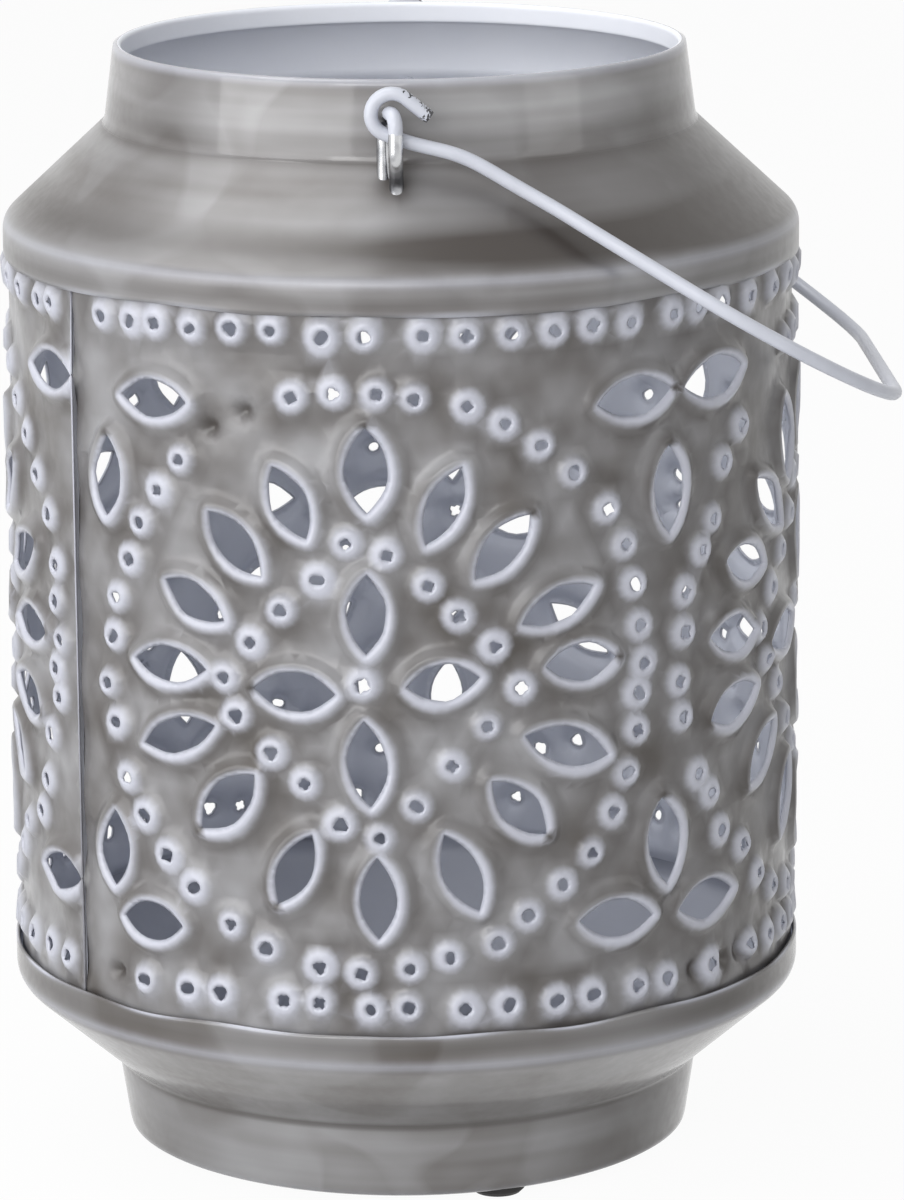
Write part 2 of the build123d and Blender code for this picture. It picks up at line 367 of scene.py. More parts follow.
@dataclass(frozen=True)
class WashedTin:
    """White lacquer on tin under a smoky grey wash and clear varnish.

    The wash was wiped on, so it shows long soft smears and the edges of thin films, darkens where it
    collected, and leaves the white lacquer showing on lips and edges. The same dark also stands for
    painted shade, and the same white for painted highlights. The varnish gives sharp reflections,
    which the lumpy sheet bends.
    """

    name: str
    light: str = "#9c9c9e"
    dark: str = "#4c4642"
    # Colour of collected wash, which also paints shade
    pooled_and_shaded: str = "#352f2b"
    # Colour of the unwashed white lacquer, which also paints highlights
    bare_and_highlight: str = "#b9bbc6"
    smear_length: float = 120.0
    smear_width: float = 8.0
    smear_share: float = 0.75
    blotch: float = 24.0
    contrast: tuple[float, float] = (0.3, 0.7)
    film: float = 26.0
    film_edge: tuple[float, float] = (0.48, 0.54)
    film_share: float = 0.07
    lump: float = 16.0
    lump_depth: float = 0.25
    grain: float = 2.2
    rough: tuple[float, float] = (0.36, 0.5)
    edge: tuple[float, float] = (0.0, 1.0)
    ragged: float = 0.08
    gloss: float = 0.1
    shift: float = 0.0

    def wash(self, tree: bpy.types.NodeTree, place: bpy.types.NodeSocket) -> bpy.types.NodeSocket:
        """The wash's colour: smears, blotches and film edges mixed to a shade between dark and light.

        Args:
            tree: the material's node tree.
            place: Object coordinates.

        Returns:
            The colour socket.
        """
        flat, tall = 1 / (self.smear_length * MM), 1 / (self.smear_width * MM)
        stretch = {"Vector": place, "Scale": (flat, flat, tall)}
        laid = add_node(tree, "ShaderNodeMapping", stretch).outputs[0]
        smears = add_node(tree, "ShaderNodeTexNoise", {"Vector": laid, "Scale": 1.0, "Detail": 2.5})
        spots = {"Vector": place, "Scale": 1 / (self.blotch * MM), "Detail": 2.0}
        blotches = add_node(tree, "ShaderNodeTexNoise", spots)
        strokes = {0: self.smear_share, 2: blotches.outputs[0], 3: smears.outputs[0]}
        both = add_node(tree, "ShaderNodeMix", strokes)
        films = {"Vector": place, "Scale": 1 / (self.film * MM), "Detail": 1.0, "Distortion": 0.6}
        film = add_node(tree, "ShaderNodeTexNoise", films)
        brink = {0: film.outputs[0], 1: self.film_edge[0], 2: self.film_edge[1]}
        edge = add_node(tree, "ShaderNodeMapRange", brink)
        coats = {0: self.film_share, 2: both.outputs[0], 3: edge.outputs[0]}
        layers = add_node(tree, "ShaderNodeMix", coats)
        tones = {0: layers.outputs[0], 1: self.contrast[0], 2: self.contrast[1]}
        shade = add_node(tree, "ShaderNodeMapRange", tones)
        ends = {0: shade.outputs[0], 6: linear(self.dark), 7: linear(self.light)}
        return add_node(tree, "ShaderNodeMix", ends, data_type="RGBA").outputs[2]

    def build(self) -> bpy.types.Material:
        """Makes the material: the wash, darkened by collected wash and painted shade and whitened by wiped
        lacquer and painted highlights, as the piece's marks say, under clear varnish.

        Returns:
            The material.
        """
        material, tree = new_material(self.name)
        body = add_node(tree, "ShaderNodeTexCoord").outputs["Object"]
        moved = {"Vector": body, "Location": (self.shift * MM, 0.0, self.shift * MM)}
        place = add_node(tree, "ShaderNodeMapping", moved).outputs[0]
        # Darkens where the piece marks collected wash and painted shade
        pool = add_node(tree, "ShaderNodeAttribute", attribute_name="pool").outputs["Fac"]
        dark = {0: pool, 6: self.wash(tree, place), 7: linear(self.pooled_and_shaded)}
        pooled_and_shaded = add_node(tree, "ShaderNodeMix", dark, data_type="RGBA")
        # Whitens where the piece marks wiped lacquer and painted highlights
        bare_and_highlight = add_node(tree, "ShaderNodeAttribute", attribute_name="bare_and_highlight").outputs["Fac"]
        grit = {"Vector": place, "Scale": 1 / (self.grain * MM), "Detail": 3.0}
        grain = add_node(tree, "ShaderNodeTexNoise", grit)
        torn = {0: grain.outputs[0], 1: self.ragged, 2: bare_and_highlight}
        broken = add_node(tree, "ShaderNodeMath", torn, operation="MULTIPLY_ADD")
        low, high = (end + self.ragged / 2 for end in self.edge)
        ramp = {0: broken.outputs[0], 1: low, 2: high}
        wiped = add_node(tree, "ShaderNodeMapRange", ramp, interpolation_type="SMOOTHSTEP")
        white = {0: wiped.outputs[0], 6: pooled_and_shaded.outputs[2], 7: linear(self.bare_and_highlight)}
        colour = add_node(tree, "ShaderNodeMix", white, data_type="RGBA")
        matt = {0: grain.outputs[0], 1: 0.3, 2: 0.7, 3: self.rough[0], 4: self.rough[1]}
        rough = add_node(tree, "ShaderNodeMapRange", matt)
        uneven = {"Vector": place, "Scale": 1 / (self.lump * MM), "Detail": 1.5}
        lumps = add_node(tree, "ShaderNodeTexNoise", uneven)
        bend = {"Height": lumps.outputs[0], "Strength": 0.6, "Distance": self.lump_depth * MM}
        relief = add_node(tree, "ShaderNodeBump", bend)
        shader = add_node(tree, "ShaderNodeBsdfPrincipled", {
            "Base Color": colour.outputs[2], "Roughness": rough.outputs[0], "IOR": 1.5,
            "Specular IOR Level": 0.2, "Coat Weight": 0.8, "Coat Roughness": self.gloss, "Coat IOR": 1.5,
            "Normal": relief.outputs[0], "Coat Normal": relief.outputs[0],
        })
        add_node(tree, "ShaderNodeOutputMaterial", {"Surface": shader.outputs[0]})
        return material


@dataclass(frozen=True)
class WhiteLacquer:
    """The unwashed white lacquer of the inside: cool white, even, half gloss, with a faint orange peel."""

    name: str = "white lacquer inside"
    colour: str = "#f3f5fb"
    shade: str = "#e8ebf3"
    blotch: float = 18.0
    peel: float = 1.6
    peel_depth: float = 0.1

    def build(self) -> bpy.types.Material:
        """Makes the material: two near whites mixed by soft blotches, and a fine peel.

        Returns:
            The material.
        """
        material, tree = new_material(self.name)
        place = add_node(tree, "ShaderNodeTexCoord").outputs["Object"]
        spots = {"Vector": place, "Scale": 1 / (self.blotch * MM), "Detail": 3.0}
        blotches = add_node(tree, "ShaderNodeTexNoise", spots)
        ends = {0: blotches.outputs[0], 6: linear(self.shade), 7: linear(self.colour)}
        colour = add_node(tree, "ShaderNodeMix", ends, data_type="RGBA")
        dimples = {"Vector": place, "Scale": 1 / (self.peel * MM), "Detail": 1.0}
        peel = add_node(tree, "ShaderNodeTexNoise", dimples)
        bend = {"Height": peel.outputs[0], "Strength": 0.2, "Distance": self.peel_depth * MM}
        relief = add_node(tree, "ShaderNodeBump", bend)
        rough = add_node(tree, "ShaderNodeMapRange", {0: blotches.outputs[0], 3: 0.38, 4: 0.5})
        shader = add_node(tree, "ShaderNodeBsdfPrincipled", {
            "Base Color": colour.outputs[2], "Roughness": rough.outputs[0], "IOR": 1.5,
            "Normal": relief.outputs[0],
        })
        add_node(tree, "ShaderNodeOutputMaterial", {"Surface": shader.outputs[0]})
        return material


@dataclass(frozen=True)
class PaintedSteel:
    """Steel wire with gloss paint that chips: the paint is thick and smooth, with ragged chip edges."""

    name: str
    paint: str = "#c9ccd6"
    thin_paint: str = "#bdc0ca"
    steel: str = "#cbccce"
    tarnish: str = "#7f8084"
    metallic: float = 1.0
    drip: float = 5.0
    drip_depth: float = 0.15
    flake: float = 0.6
    chip_edge: tuple[float, float] = (0.97, 1.0)

    def build(self) -> bpy.types.Material:
        """Makes the material: the mark chip, broken up by a noise, shows the steel and its tarnish.

        Returns:
            The material.
        """
        material, tree = new_material(self.name)
        place = add_node(tree, "ShaderNodeTexCoord").outputs["Object"]
        runs = {"Vector": place, "Scale": 1 / (self.drip * MM), "Detail": 2.0}
        drips = add_node(tree, "ShaderNodeTexNoise", runs)
        coats = {0: drips.outputs[0], 6: linear(self.thin_paint), 7: linear(self.paint)}
        coat = add_node(tree, "ShaderNodeMix", coats, data_type="RGBA")
        bits = {"Vector": place, "Scale": 1 / (self.flake * MM), "Detail": 3.0}
        flakes = add_node(tree, "ShaderNodeTexNoise", bits)
        dull = add_node(tree, "ShaderNodeMapRange", {0: drips.outputs[0], 1: 0.4, 2: 0.6})
        metals = {0: dull.outputs[0], 6: linear(self.steel), 7: linear(self.tarnish)}
        metal = add_node(tree, "ShaderNodeMix", metals, data_type="RGBA")
        chip = add_node(tree, "ShaderNodeAttribute", attribute_name="chip").outputs["Fac"]
        level = add_node(tree, "ShaderNodeMath", {0: chip, 1: flakes.outputs[0]}, operation="ADD")
        brink = {0: level.outputs[0], 1: self.chip_edge[0], 2: self.chip_edge[1]}
        shown = add_node(tree, "ShaderNodeMapRange", brink)
        ends = {0: shown.outputs[0], 6: coat.outputs[2], 7: metal.outputs[2]}
        colour = add_node(tree, "ShaderNodeMix", ends, data_type="RGBA")
        shine = {0: shown.outputs[0], 1: self.metallic}
        metallic = add_node(tree, "ShaderNodeMath", shine, operation="MULTIPLY")
        rough = add_node(tree, "ShaderNodeMapRange", {0: shown.outputs[0], 3: 0.36, 4: 0.2})
        bend = {"Height": drips.outputs[0], "Strength": 0.3, "Distance": self.drip_depth * MM}
        relief = add_node(tree, "ShaderNodeBump", bend)
        shader = add_node(tree, "ShaderNodeBsdfPrincipled", {
            "Base Color": colour.outputs[2], "Metallic": metallic.outputs[0], "Roughness": rough.outputs[0],
            "Normal": relief.outputs[0],
        })
        add_node(tree, "ShaderNodeOutputMaterial", {"Surface": shader.outputs[0]})
        return material


@dataclass(frozen=True)
class BlackRubber:
    """Moulded rubber of the feet: nearly black and dull, with a fine grain."""

    name: str = "black moulded rubber"
    colour: str = "#1d1c1c"
    worn: str = "#2c2b2a"
    grain: float = 0.8
    grain_depth: float = 0.1

    def build(self) -> bpy.types.Material:
        """Makes the material: two blacks mixed by a fine grain that also roughens it.

        Returns:
            The material.
        """
        material, tree = new_material(self.name)
        place = add_node(tree, "ShaderNodeTexCoord").outputs["Object"]
        grit = {"Vector": place, "Scale": 1 / (self.grain * MM), "Detail": 2.0}
        grain = add_node(tree, "ShaderNodeTexNoise", grit)
        ends = {0: grain.outputs[0], 6: linear(self.colour), 7: linear(self.worn)}
        colour = add_node(tree, "ShaderNodeMix", ends, data_type="RGBA")
        bend = {"Height": grain.outputs[0], "Strength": 0.3, "Distance": self.grain_depth * MM}
        relief = add_node(tree, "ShaderNodeBump", bend)
        rough = add_node(tree, "ShaderNodeMapRange", {0: grain.outputs[0], 3: 0.6, 4: 0.8})
        shader = add_node(tree, "ShaderNodeBsdfPrincipled", {
            "Base Color": colour.outputs[2], "Roughness": rough.outputs[0], "Normal": relief.outputs[0],
        })
        add_node(tree, "ShaderNodeOutputMaterial", {"Surface": shader.outputs[0]})
        return material


# Sub-assemblies


@dataclass
class PressedShell:
    """A turned shell of tin: an outline of radius and height, given its sheet's thickness."""

    sheet: float = 0.6
    spacing: float = 0.8
    segments: int = 300

    def turned(self, outline: Floats, sway: float, seed: int) -> tuple[Floats, Ints, Floats]:
        """Turns a closed outline round the axis, a little out of round as hand-spun tin is.

        A point's radius grows by a slow ripple round the axis, the same at all heights.

        Args:
            outline: radius and height of each point of the closed outline.
            sway: how far out of round it is.
            seed: seed of the ripple.

        Returns:
            Vertices on a grid of outline points by angles, the quads, and the angles.
        """
        angles = np.linspace(-np.pi, np.pi, self.segments, endpoint=False)
        radii = outline[:, 0:1] + sway * ripple(angles, seed, (2, 3, 5))[None, :]
        heights = np.broadcast_to(outline[:, 1:2], radii.shape)
        points = around(np.broadcast_to(angles, radii.shape), radii, heights)
        return points, grid_faces(len(outline), self.segments, True, True), angles


@dataclass
class TopShell(PressedShell):
    """Collar, sloping shoulder and neck, with the rim folded inwards."""

    collar_radius: float = 79.2
    collar_height: float = 7.0
    shoulder_height: float = 19.1
    neck_radius: float = 58.7
    rim_radius: float = 56.8
    rim_lift: float = 0.3
    hem_depth: float = 4.2
    hem_thickness: float = 1.7
    hem_return: float = 1.1
    bends: tuple[float, ...] = (4.5, 3.0)
    hem_bends: tuple[float, ...] = (0.75, 0.75, 0.3)
    sway: float = 0.15
    # Each dent's angle, height over the collar's edge, and depth
    dents: tuple[tuple[float, float, float], ...] = ((10.2, 3.6, 0.5), (14.7, 4.2, 0.4), (-22.8, 3.0, 0.25))
    dent_size: tuple[float, float] = (3.5, 2.2)
    # Where the painted shade round each eye's foot is centred, out from the axis, and its width
    eye_foot: float = 62.5
    eye_pool: float = 3.464

    def levels(self) -> tuple[float, float, float, float]:
        """Heights of the collar's edge, the bend above it, the neck's foot and the rim.

        Returns:
            The four heights, from the lowest.
        """
        low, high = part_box("neck_shoulder")
        edge = low.z / MM
        bend = edge + self.collar_height
        return edge, bend, bend + self.shoulder_height, high.z / MM

    def outline(self) -> tuple[Floats, int]:
        """The closed outline, up the outside and down the inside.

        Returns:
            Points of radius and height, and how many of them are on the outside.
        """
        edge, bend, neck, rim = self.levels()
        corners = [
            (self.collar_radius, edge),
            (self.collar_radius, bend),
            (self.neck_radius, neck),
            (self.rim_radius, rim - 0.8),
        ]
        outside = rounded_line(corners, self.bends)
        inside = inset_line(outside, self.sheet)[::-1]
        inside = inside[inside[:, 1] < rim - self.hem_depth]
        inner = self.rim_radius - self.hem_thickness
        corners = [
            (self.rim_radius, rim - 0.9),
            (self.rim_radius, rim),
            (inner, rim),
            (inner, rim - self.hem_depth),
            (inner + self.hem_return, rim - self.hem_depth),
        ]
        steps = 6
        hem = rounded_line(corners, self.hem_bends, steps)
        folded = steps + 2
        outside = resampled(np.vstack([outside, hem[1:folded]]), self.spacing)
        inside = np.vstack([resampled(hem[folded:], self.spacing / 2), resampled(inside, self.spacing)])
        return np.vstack([outside, inside]), len(outside)

    def shaped(self, points: Floats, height: Floats, angles: Floats) -> Floats:
        """Gives the turned shell its wear.

        The collar's edge rises and falls by a small ripple, the rim tips up towards the front in
        proportion to the distance forwards, and each dent is a bell pushed towards the axis.

        Args:
            points: the turned vertices.
            height: heights of the outline's points, as a column.
            angles: the angles round the axis.

        Returns:
            The moved vertices.
        """
        edge, _, _, rim = self.levels()
        near_edge = smoothstep(3.0, 0.0, height - edge)
        points[..., 2] += near_edge * (0.25 + 0.3 * ripple(angles, 8, (5, 9, 14))[None, :])
        tip = self.rim_lift * (1.0 - points[..., 1] / self.rim_radius)
        points[..., 2] += tip * smoothstep(rim - 14.0, rim - 1.0, height)
        reach = np.hypot(points[..., 0], points[..., 1])
        sunk = np.zeros(reach.shape)
        wide, tall = self.dent_size
        for angle, level, depth in self.dents:
            across = (angles[None, :] - np.radians(angle)) * self.collar_radius
            sunk += depth * bell(across, 0.0, wide) * bell(height, edge + level, tall)
        points[..., :2] *= (1.0 - sunk / reach)[..., None]
        return points

    def bare_and_highlight(self, height: Floats, angles: Floats) -> Floats:
        """Where the wash is wiped off, along the rim and the collar's edge, with a faint painted
        highlight on the bend.

        Args:
            height: heights of the outline's points, as a column.
            angles: the angles round the axis.

        Returns:
            A share from 0 to 1 at each vertex.
        """
        edge, bend, _, rim = self.levels()
        on_rim = 0.55 * smoothstep(2.6, 0.2, rim - height)
        patchy = 0.6 + 0.4 * ripple(angles, 5, (7, 12, 19))
        on_edge = 0.6 * smoothstep(1.3, 0.3, height - edge) * patchy
        # A painted highlight along the bend
        bend_highlight = 0.42 * bell(height, bend - 0.4, 1.3)
        return np.clip(np.maximum(np.maximum(on_rim, on_edge), bend_highlight), 0, 1)

    def pool(self, points: Floats, height: Floats, angles: Floats) -> Floats:
        """Where it is darker: in rings, with painted shade round the eyes' feet and on the sides away from
        the front, and a painted dark reflection in a band up the neck's left.

        Args:
            points: the vertices.
            height: heights of the outline's points, as a column.
            angles: the angles round the axis.

        Returns:
            A share at each vertex.
        """
        edge, bend, neck, _ = self.levels()
        wave = 0.75 + 0.25 * ripple(angles, 41, (1, 2, 5))[None, :]
        pool = 0.95 * wave * bell(height, bend + 5.0, 3.0) + 0.3 * bell(height, edge + 2.6, 1.3)
        pool = pool + 0.5 * bell(height, neck - 0.4, 1.0) + 0.3 * wave * bell(height, neck + 3.4, 2.0)
        turned = np.degrees(angles)[None, :]
        # Painted shade on the sides away from the front, heavier on the right, and on the slope's right
        side = smoothstep(-12.0, 22.0, turned) * smoothstep(150.0, 100.0, turned)
        far = smoothstep(38.0, 62.0, np.abs(turned)) * smoothstep(170.0, 120.0, np.abs(turned))
        pool = pool + np.where(turned > 0, 0.4, 0.25) * far
        # Painted shade round each eye's foot
        for eye in Side:
            from_eye = np.hypot(points[..., 0], points[..., 1] - eye.value * self.eye_foot)
            pool = pool + 0.9 * bell(from_eye, 0.0, self.eye_pool)
        # A painted dark reflection: a band up the neck's left
        pool = pool + 0.45 * bell(turned, -47.0, 11.0) * smoothstep(neck, neck + 2.0, height)
        slope = smoothstep(bend, bend + 2.0, height) * smoothstep(neck, neck - 2.0, height)
        return pool + 0.5 * side * slope

    def build(self, wash: bpy.types.Material, lacquer: bpy.types.Material,
              dull: bpy.types.Material) -> bpy.types.Object:
        """Builds and dresses the shell.

        Args:
            wash: the lighter wash of the neck.
            lacquer: the inside's finish.
            dull: the duller wash of the slope and collar.

        Returns:
            The finished piece.
        """
        outline, outer = self.outline()
        points, faces, angles = self.turned(outline, self.sway, 3)
        height = outline[:, 1:2]
        points = self.shaped(points, height, angles)
        outside = np.arange(len(outline))[:, None] < outer
        bare_and_highlight = self.bare_and_highlight(height, angles) * outside
        pool = np.clip(self.pool(points, height, angles) * outside, 0, 1)
        marks = {"bare_and_highlight": bare_and_highlight.ravel(), "pool": pool.ravel()}
        row = np.arange(len(outline))
        slope = outline[:, 1] < self.levels()[2] - 0.3
        rows = np.repeat(np.where(row >= outer, 1, np.where(slope, 2, 0)), self.segments)
        piece = new_piece("top_shell", points.reshape(-1, 3), faces, (wash, lacquer, dull), marks, rows)
        return settle(piece, Body.LANTERN, Slot.TIN, "neck_shoulder")


@dataclass
class BaseShell(PressedShell):
    """Band, inward cone and foot with its turned-in flange."""

    band_radius: float = 79.55
    band_height: float = 7.6
    foot_height: float = 15.2
    foot_top_radius: float = 59.2
    foot_radius: float = 56.9
    flange: float = 13.5
    edge_room: float = 0.35
    bends: tuple[float, ...] = (1.0, 2.0, 4.0)
    sway: float = 0.12

    def outline(self, foot: float, seam: float) -> tuple[Floats, int]:
        """The closed outline, up the outside and down the inside.

        Args:
            foot: height of the standing edge.
            seam: height of the band's edge.

        Returns:
            Points of radius and height, and how many of them are on the outside.
        """
        corners = [
            (self.foot_radius - self.flange, foot),
            (self.foot_radius, foot),
            (self.foot_top_radius, foot + self.foot_height),
            (self.band_radius, seam - self.band_height),
            (self.band_radius, seam - self.edge_room),
        ]
        outside = rounded_line(corners, self.bends)
        inside = resampled(inset_line(outside, self.sheet)[::-1], self.spacing)
        outside = resampled(outside, self.spacing)
        return np.vstack([outside, inside]), len(outside)

    def build(self, wash: bpy.types.Material, lacquer: bpy.types.Material) -> bpy.types.Object:
        """Builds and dresses the shell.

        The band's edge waves as it was crimped by hand. The wash is wiped off in patches along that edge
        and near the standing edge, and a painted highlight runs along the band's lower corner. It is
        darker in the valley over the foot, where wash collected and painted shade lies, in rings under
        the edge and over the cone, and, as painted shade, on both sides away from the front.

        Args:
            wash: the outside's finish.
            lacquer: the inside's finish.

        Returns:
            The finished piece.
        """
        low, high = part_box("base_shell")
        foot, seam = low.z / MM, high.z / MM
        valley = foot + self.foot_height
        outline, outer = self.outline(foot, seam)
        points, faces, angles = self.turned(outline, self.sway, 4)
        height = outline[:, 1:2]
        near_edge = smoothstep(3.0, 0.0, seam - height)
        points[..., 2] += near_edge * (-0.3 + 0.3 * ripple(angles, 18, (6, 11, 17))[None, :])
        outside = np.arange(len(outline))[:, None] < outer
        patchy = 0.55 + 0.45 * ripple(angles, 15, (9, 16, 23))
        on_edge = smoothstep(1.6, 0.3, seam - height) * patchy
        # A painted highlight along the band's lower corner
        corner_highlight = 0.45 * bell(height, seam - self.band_height + 0.6, 1.4)
        on_foot = 0.3 * smoothstep(2.0, 0.4, height - foot)
        bare_and_highlight = np.clip(np.maximum(np.maximum(on_edge, corner_highlight), on_foot), 0, 1) * outside
        wave = 0.75 + 0.25 * ripple(angles, 43, (1, 3, 4))[None, :]
        # Darker in the valley, collected wash and painted shade, and in rings under the edge and on the
        # cone
        pool = 0.85 * bell(height, valley, 0.8) + 0.55 * wave * bell(height, seam - 3.2, 2.0)
        pool = pool + 0.4 * wave * bell(height, valley + 8.0, 5.0)
        turned = np.degrees(angles)[None, :]
        # Painted shade on both sides away from the front, heavier on the right
        side = smoothstep(20.0, 65.0, np.abs(turned)) * smoothstep(170.0, 120.0, np.abs(turned))
        pool = np.clip((pool + np.where(turned > 0, 0.72, 0.45) * side) * outside, 0, 1)
        marks = {"bare_and_highlight": bare_and_highlight.ravel(), "pool": pool.ravel()}
        rows = np.repeat(np.arange(len(outline)) >= outer, self.segments)
        piece = new_piece("base_shell_washed", points.reshape(-1, 3), faces, (wash, lacquer), marks, rows)
        return settle(piece, Body.LANTERN, Slot.TIN, "base_shell")


@dataclass
class PunchedWall:
    """The rolled wall: petals, leaves and nail holes punched outwards through one lapped sheet.

    The pattern is laid out on the flat sheet, in millimetres to the right of and above the front
    rosette's centre. Petals that were measured on the front panel are repeated, less exactly, on the
    other panels.
    """

    radius: float = 78.3
    sheet: float = 0.6
    rosette_angle: float = -4.49
    rosette_rise: float = 68.1
    panels: int = 4
    panel_pitch: float = 121.2
    seam: float = -66.0
    lap: float = 3.0
    trim: float = 0.4
    petal: tuple[float, float] = (8.0, 3.5)
    inner_petal: tuple[float, float] = (8.0, 3.6)
    leaf: tuple[float, float] = (8.4, 3.9)
    seam_leaf: tuple[float, float] = (7.6, 3.7)
    nail: float = 1.1
    top_row: tuple[tuple[float, float], ...] = (
        (-55.7, 67.7), (-47.9, 67.7), (-41.9, 67.9), (-33.6, 67.7), (-25.0, 68.4), (-17.0, 68.4),
        (-7.1, 67.5), (0.9, 67.7), (11.9, 67.9), (20.0, 67.7), (28.6, 67.7), (37.2, 67.7), (45.1, 68.1),
        (53.6, 67.7), (63.9, 68.1), (70.8, 68.5), (77.6, 68.7), (88.0, 68.1), (98.7, 68.1),
    )
    bottom_row: tuple[tuple[float, float], ...] = (
        (-47.1, -62.6), (-36.7, -62.6), (-29.3, -62.4), (-16.1, -62.6), (-9.0, -62.6), (0.9, -63.6),
        (8.2, -63.2), (19.0, -63.8), (27.6, -63.5), (37.2, -63.7), (45.0, -63.5), (55.1, -63.2),
        (62.6, -63.2), (75.6, -63.2), (89.7, -62.4), (98.7, -62.8),
    )
    row_pitch: float = 8.7
    dents: tuple[tuple[float, float], ...] = (
        (-30.2, 48.8), (-22.9, 52.4), (-55.7, -62.8), (71.4, -63.7), (80.0, -63.5), (86.8, -62.9),
    )
    dent_radius: float = 2.0
    dent_depth: float = 1.6
    petal_lift: float = 1.8
    nail_lift: float = 1.5
    # A lip's share of its height at the torn edge, then how far out its crest and its foot are
    petal_lip: tuple[float, float, float] = (0.52, 1.1, 4.0)
    nail_lip: tuple[float, float, float] = (0.68, 0.75, 3.0)
    most_lift: float = 1.45
    sink: float = 0.5
    lap_lift: float = 0.28
    unevenness: float = 0.28
    petal_rings: tuple[float, ...] = (0.5, 1.1, 1.9, 2.9, 4.0)
    nail_rings: tuple[float, ...] = (0.75, 1.7, 3.0)
    dent_rings: tuple[float, ...] = (0.0, 0.7, 1.4, 2.2, 3.2)
    # Points on the edge of a petal and of a nail hole, and on a ring round a petal, a nail hole and a dent
    edge_points: tuple[int, int] = (28, 12)
    ring_points: tuple[int, int, int] = (24, 12, 10)
    grid: float = 2.6
    border: float = 2.0
    # How far a ring's points keep off other holes, the grid's off all holes, and both off the sheet's edge
    ring_room: float = 0.25
    grid_room: float = 3.4
    edge_room: float = 0.6
    # How far the wiped band reaches from a petal, how much more on its lower right and less on its
    # upper left, a painted highlight on the side the light falls on, and from a nail
    bare_reach: tuple[float, float, float] = (2.4, 1.0, 3.3)
    # Share of the petals with a painted shadow past a tip
    shadowed_tip_share: float = 0.45
    outer_petals: tuple[tuple[float, float], ...] = (
        (42.7, 3.0), (37.7, 14.7), (26.8, 26.8), (15.5, 35.2), (1.0, 42.2), (-13.8, 35.5), (-25.0, 26.8),
        (-33.8, 15.0), (-39.7, 1.8), (-38.0, -12.0), (-27.2, -24.0), (-13.5, -36.2), (2.5, -41.5),
        (18.5, -36.7), (29.8, -24.5), (39.7, -13.2),
    )
    ring_nails: tuple[tuple[float, float], ...] = (
        (-13.2, 55.8), (-5.1, 56.8), (3.1, 56.8), (10.1, 55.8), (20.1, 54.2), (27.4, 50.5), (34.4, 45.9),
        (41.1, 40.1), (48.4, 32.2), (52.4, 24.8), (54.6, 16.8), (55.8, 8.5), (56.8, 0.8), (55.5, -4.8),
        (55.2, -12.2), (52.8, -20.2), (49.6, -27.6), (44.8, -35.1), (38.6, -40.6), (31.5, -46.0),
        (25.5, -51.1), (16.2, -53.4), (8.5, -55.5), (-0.8, -56.5), (-8.9, -55.5), (-19.5, -52.5),
        (-26.8, -48.4), (-34.9, -42.1), (-41.1, -36.5), (-46.6, -29.5), (-51.0, -22.6), (-53.9, -12.0),
        (-56.0, -4.5), (-54.1, 5.1), (-53.2, 13.0), (-49.5, 21.0), (-46.6, 28.6), (-42.0, 35.5),
        (-36.8, 42.0),
    )
    star_nails: tuple[tuple[float, float], ...] = (
        (-3.0, 28.0), (4.8, 25.8), (12.5, 19.8), (18.2, 13.8), (25.2, 7.5), (30.2, -0.9), (23.6, -8.0),
        (16.8, -15.5), (10.0, -23.2), (3.0, -29.5), (-4.5, -27.0), (-11.4, -19.2), (-18.0, -13.5),
        (-25.1, -6.8), (-27.6, 0.5), (-22.0, 7.8), (-15.8, 14.5), (-8.5, 20.8), (-0.1, 0.5),
    )
    inner_petals: tuple[tuple[float, float], ...] = ((15.2, 1.0), (0.8, 14.3), (-13.3, -1.2), (0.7, -15.0))
    edge_leaves: tuple[tuple[float, float, float], ...] = (
        (2.2, 34.2, 90.0), (1.2, -35.3, 90.0), (-5.9, 53.3, 0.0), (15.4, 54.3, 0.0), (-10.1, -49.0, 0.0),
        (13.2, -49.5, 0.0),
    )
    seam_leaves: tuple[tuple[float, float, float], ...] = (
        (-55.0, 36.7, 90.0), (-54.7, -37.3, 90.0), (-42.7, 53.3, 0.0), (-45.0, -50.3, 0.0),
        (418.7, 54.7, 0.0), (418.7, -46.0, 0.0),
    )

    def end(self) -> float:
        """Where the sheet's outer end lies along it, one turn from the seam."""
        return self.seam + 2 * np.pi * self.radius

    def petals(self) -> Floats:
        """Lays out every petal and leaf: the front panel as measured, the others a little off.

        Returns:
            Place along and up the sheet, direction in degrees, half length and half width of each.
        """
        rng = np.random.default_rng(11)
        outer = np.array(self.outer_petals)
        inner = np.array(self.inner_petals)
        leaves = np.array(self.edge_leaves)
        rows = []
        for panel in range(self.panels):
            start = panel * self.panel_pitch
            loose = 0.0 if panel == 0 else 1.0
            for places, size in ((outer, self.petal), (inner, self.inner_petal)):
                turn = np.degrees(np.arctan2(places[:, 1], places[:, 0]))
                spot = places + rng.normal(0, 0.7, places.shape) * loose + (start, 0)
                turn = turn + rng.normal(0, 4.0, turn.shape)
                rows.append(np.column_stack([spot, turn, np.tile(size, (len(spot), 1))]))
            if panel < self.panels - 1:
                edge = start + self.panel_pitch / 2
                spot = leaves[:, :2] + rng.normal(0, 0.6, (len(leaves), 2)) * loose + (edge, 0)
                turn = leaves[:, 2] + rng.normal(0, 3.0, len(leaves))
                rows.append(np.column_stack([spot, turn, np.tile(self.leaf, (len(spot), 1))]))
        seam = np.array(self.seam_leaves)
        rows.append(np.column_stack([seam, np.tile(self.seam_leaf, (len(seam), 1))]))
        found = np.vstack(rows)
        found[:, 3:] *= rng.normal(1.0, 0.05, (len(found), 2))
        return found

